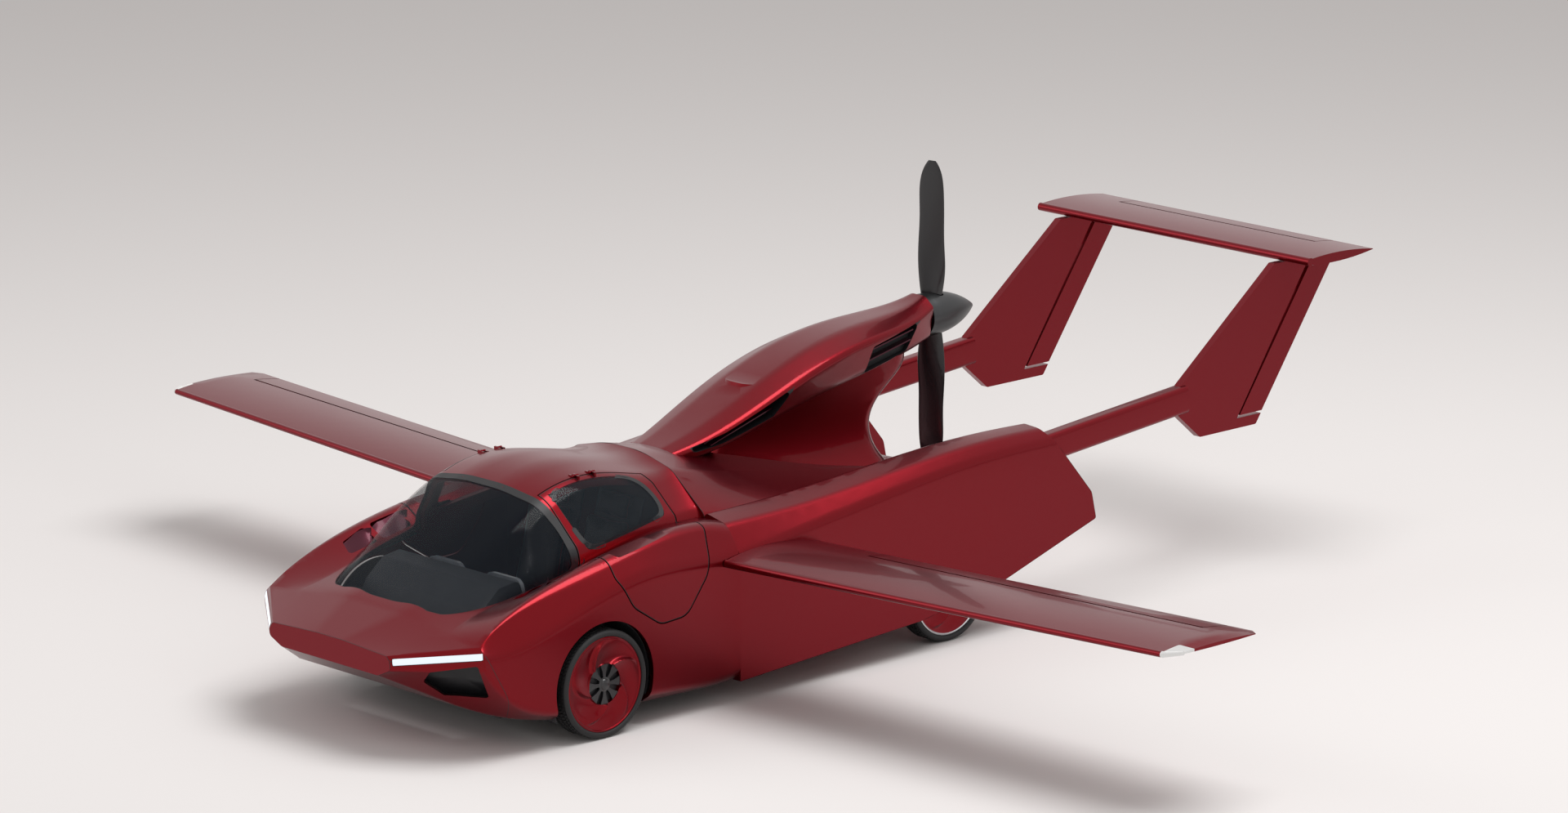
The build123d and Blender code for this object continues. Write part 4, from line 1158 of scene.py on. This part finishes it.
@dataclass
class PlainNodes:
    """CAD nodes that keep their shape and get a finish."""

    finishes: Finishes
    shaft_end: float = 0.930
    shaft_radius: float = 0.0305
    shaft_share: float = 0.985

    def build(self) -> None:
        """Dress the nodes."""
        use = self.finishes
        dress = {
            "belly_pan": use.underbody, "front_suspension": use.steel, "rear_suspension": use.steel,
            "knuckle_left": use.steel, "knuckle_right": use.steel, "engine_block": use.cast,
            "dashboard": use.dark_trim, "control_yokes": use.clear_trim, "spinner": use.spinner,
            "propeller": use.blade, "headlamps": use.glow, "wingtip_lamps": use.tip_glow,
            "windscreen": use.windscreen_glass, "door_glass_left": use.side_glass,
            "door_glass_right": use.side_glass}
        for node, material in dress.items():
            made = merged_copy(node, f"{node}_piece", material)
            if node == "propeller":
                self.thin_shaft(made)

    def thin_shaft(self, made: Piece) -> None:
        """Draw the propeller's shaft a hair thinner, so that its facets turn freely in the bearing."""
        low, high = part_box("spinner")
        axis = (low + high) / 2
        for vert in made.data.vertices:
            across, up = vert.co.x - axis.x, vert.co.z - axis.z
            if vert.co.y < self.shaft_end and math.hypot(across, up) < self.shaft_radius:
                vert.co.x = axis.x + across * self.shaft_share
                vert.co.z = axis.z + up * self.shaft_share


@dataclass
class Wheel:
    """One tyre and its wheel disc."""

    finishes: Finishes
    node_end: str
    body: str
    side: Side
    wall: float = 0.038
    tread_blocks: int = 84
    tread_depth: float = 0.0065
    tread_rise: float = 0.0062
    tread_half: float = 0.0085
    tread_lean: float = 0.004
    blades: int = 5
    blade_end: float = 0.243
    blade_crest: float = 0.86
    blade_rise: float = 0.030
    blade_sink: float = 0.014
    disc_rows: int = 30
    disc_steps: int = 300
    hub_radius: float = 0.112
    hub_depth: float = 0.022
    hub_spokes: int = 8

    def build(self) -> None:
        """Make the tyre, its tread, the disc, the hub and the edge."""
        low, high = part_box(f"tyre_{self.node_end}")
        self.centre = (low + high) / 2
        self.radius = (high.z - low.z) / 2
        self.half = (high.x - low.x) / 2
        self.rim = self.radius - self.wall
        self.face = self.half - 0.014
        self.tyre()
        self.tread()
        self.disc()
        self.hub()
        self.edge()

    def placed(self, made: Piece) -> Piece:
        """Move a mesh from the wheel's own frame, its outside towards +X, to its place."""
        turn = Matrix.Diagonal((self.side.value, 1.0, 1.0, 1.0))
        made.data.transform(Matrix.Translation(self.centre) @ turn)
        if self.side is Side.RIGHT:
            made.data.flip_normals()
        return made

    def add(self, name: str, build: Mesh, material: Material, slot: str = "rim",
            *nodes: str) -> None:
        """Close a mesh that was built in the wheel's own frame and put it in its place."""
        made = self.placed(finished(f"{name}_{self.node_end}", build, material))
        seat_on(made, self.body, slot, *nodes)

    def add_ring(self, name: str, build: Mesh, count: int, material: Material,
                 slot: str) -> None:
        """Set copies of a small mesh round the wheel."""
        made = ring_of(finished(f"{name}_one", build, material), count, f"{name}_{self.node_end}", material)
        seat_on(self.placed(made), self.body, slot)

    def tyre(self) -> None:
        """Tyre carcass with rounded walls."""
        radius, half, rim, base = self.radius, self.half, self.rim, self.radius - 0.006
        right = [
            (rim, 0.0), (rim, half * 0.80), (rim + 0.004, half * 0.93), (rim + 0.010, half * 0.985),
            (rim + 0.017, half), (rim + 0.024, half * 0.985), (base, half * 0.90),
            (radius - 0.003, half * 0.82), (base, half * 0.74), (base, 0.0)]
        profile = right + [(r, -x) for r, x in reversed(right[1:-1])]
        build = bmesh.new()
        lathe(build, profile, 144, closed=True)
        bmesh.ops.recalc_face_normals(build, faces=build.faces)
        smooth_faces(build, 40.0)
        made = self.placed(mesh_object(f"tyre_{self.node_end}_piece", build, self.finishes.rubber))
        seat_on(made, self.body, "tyre", f"tyre_{self.node_end}")

    def height(self, radius: float, turn: float) -> float:
        """Height of the pinwheel disc over its rim plane."""
        share = (radius - self.hub_radius) / (self.blade_end - self.hub_radius)
        if share <= 0 or share >= 1:
            return 0.0
        swirl = turn + 0.75 * share
        sector = (swirl / (2 * math.pi) * self.blades) % 1.0
        fade = math.sin(math.pi * min(1.0, 0.25 + share * 0.75)) ** 0.8
        crest = self.blade_crest
        ridge = sector / crest if sector < crest else (1.0 - sector) / (1.0 - crest)
        return (self.blade_rise * ridge ** 2.0 - self.blade_sink) * fade

    def disc(self) -> None:
        """Painted pinwheel disc and the barrel behind it."""
        rim, face, back = self.rim, self.face, self.face - 0.03
        build = bmesh.new()
        turns = [2 * math.pi * k / self.disc_steps for k in range(self.disc_steps)]
        rings = []
        for row in range(self.disc_rows + 1):
            radius = self.hub_radius + (rim - 0.012 - self.hub_radius) * row / self.disc_rows
            rings.append([
                build.verts.new((face + self.height(radius, turn), radius * math.cos(turn), radius * math.sin(turn)))
                for turn in turns])
        bridge(build, rings)
        lathe(build, [
            (rim - 0.012, face), (rim - 0.006, face + 0.004), (rim, face + 0.002), (rim, -self.half * 0.9),
            (rim - 0.010, -self.half * 0.9), (rim - 0.010, back), (self.hub_radius, back),
            (self.hub_radius, face)], self.disc_steps)
        bmesh.ops.remove_doubles(build, verts=build.verts, dist=MERGE_DISTANCE)
        self.add("wheel_disc", build, self.finishes.paint, "rim", f"rim_{self.node_end}")

    def hub(self) -> None:
        """Black hub: a near-black well that is painted shade behind the spokes, a cap, and flared spokes set round
        it by Geometry Nodes.
        """
        face, depth, radius = self.face, self.hub_depth, self.hub_radius
        well = bmesh.new()
        lathe(well, [
            (0.0, face - depth), (radius, face - depth), (radius, face - depth - 0.005),
            (0.0, face - depth - 0.005)], 96)
        # Near-black well disc: painted shade behind the spokes.
        self.add("wheel_well_disc", well, self.finishes.void)
        cap = bmesh.new()
        lathe(cap, [
            (0.0, face + 0.010), (0.020, face + 0.010), (0.027, face + 0.006), (0.030, face + 0.001),
            (0.040, face - 0.002), (0.042, face - depth), (0.0, face - depth)], 96)
        self.add("wheel_cap", cap, self.finishes.blade)
        arm = bmesh.new()
        half = ((0.038, 0.0080), (0.070, 0.0125), (0.110, 0.0270))
        outline = half + tuple((along, -across) for along, across in reversed(half))
        block(arm, [Vector((face - 0.020, across, along)) for along, across in outline], Vector((0.018, 0.0, 0.0)))
        self.add_ring("wheel_spokes", arm, self.hub_spokes, self.finishes.blade, "rim")

    def edge(self) -> None:
        """Edge of the wheel, bright metal on the rear ones."""
        build = bmesh.new()
        lathe(build, [(self.rim + out, self.face + up) for out, up in (
            (-0.011, 0.0015), (-0.006, 0.0060), (0.0004, 0.0040), (0.0004, 0.0010), (-0.006, 0.0030),
            (-0.011, -0.0005))], 180, closed=True)
        self.add("wheel_edge", build, self.finishes.paint if "front" in self.node_end else self.finishes.rim_edge)

    def tread(self) -> None:
        """Blocks across the tread, set round the tyre by Geometry Nodes."""
        build = bmesh.new()
        radius, half = self.radius - self.tread_depth, self.tread_half
        for start, end in ((0.08, 0.39), (0.52, 0.74), (-0.39, -0.08), (-0.74, -0.52)):
            low, high = start * self.half, end * self.half
            lean = math.copysign(self.tread_lean, start)
            block(build, [Vector((x, y, radius)) for x, y in (
                (low, -half - lean), (high, lean - half), (high, half + lean), (low, half - lean))],
                Vector((0.0, 0.0, self.tread_rise)))
        self.add_ring("tread", build, self.tread_blocks, self.finishes.rubber, "tyre")


def main() -> None:
    """Build the machine's looks in order."""
    logging.basicConfig(level=logging.INFO, format="%(message)s")
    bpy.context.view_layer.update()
    finishes = Finishes()
    Studio().build()
    for assembly in (
            Bodywork(finishes), PodOpenings(finishes), ShutLines(finishes), ArchLiners(finishes),
            CornerDucts(finishes), FenderLouvres(finishes), Seats(finishes), PlainNodes(finishes)):
        assembly.build()
    for end in ("front", "rear"):
        for side in Side:
            Wheel(finishes, f"{end}_{side.word}", f"wheel_{end}_{side.word}", side).build()


if __name__ == "__main__":
    main()
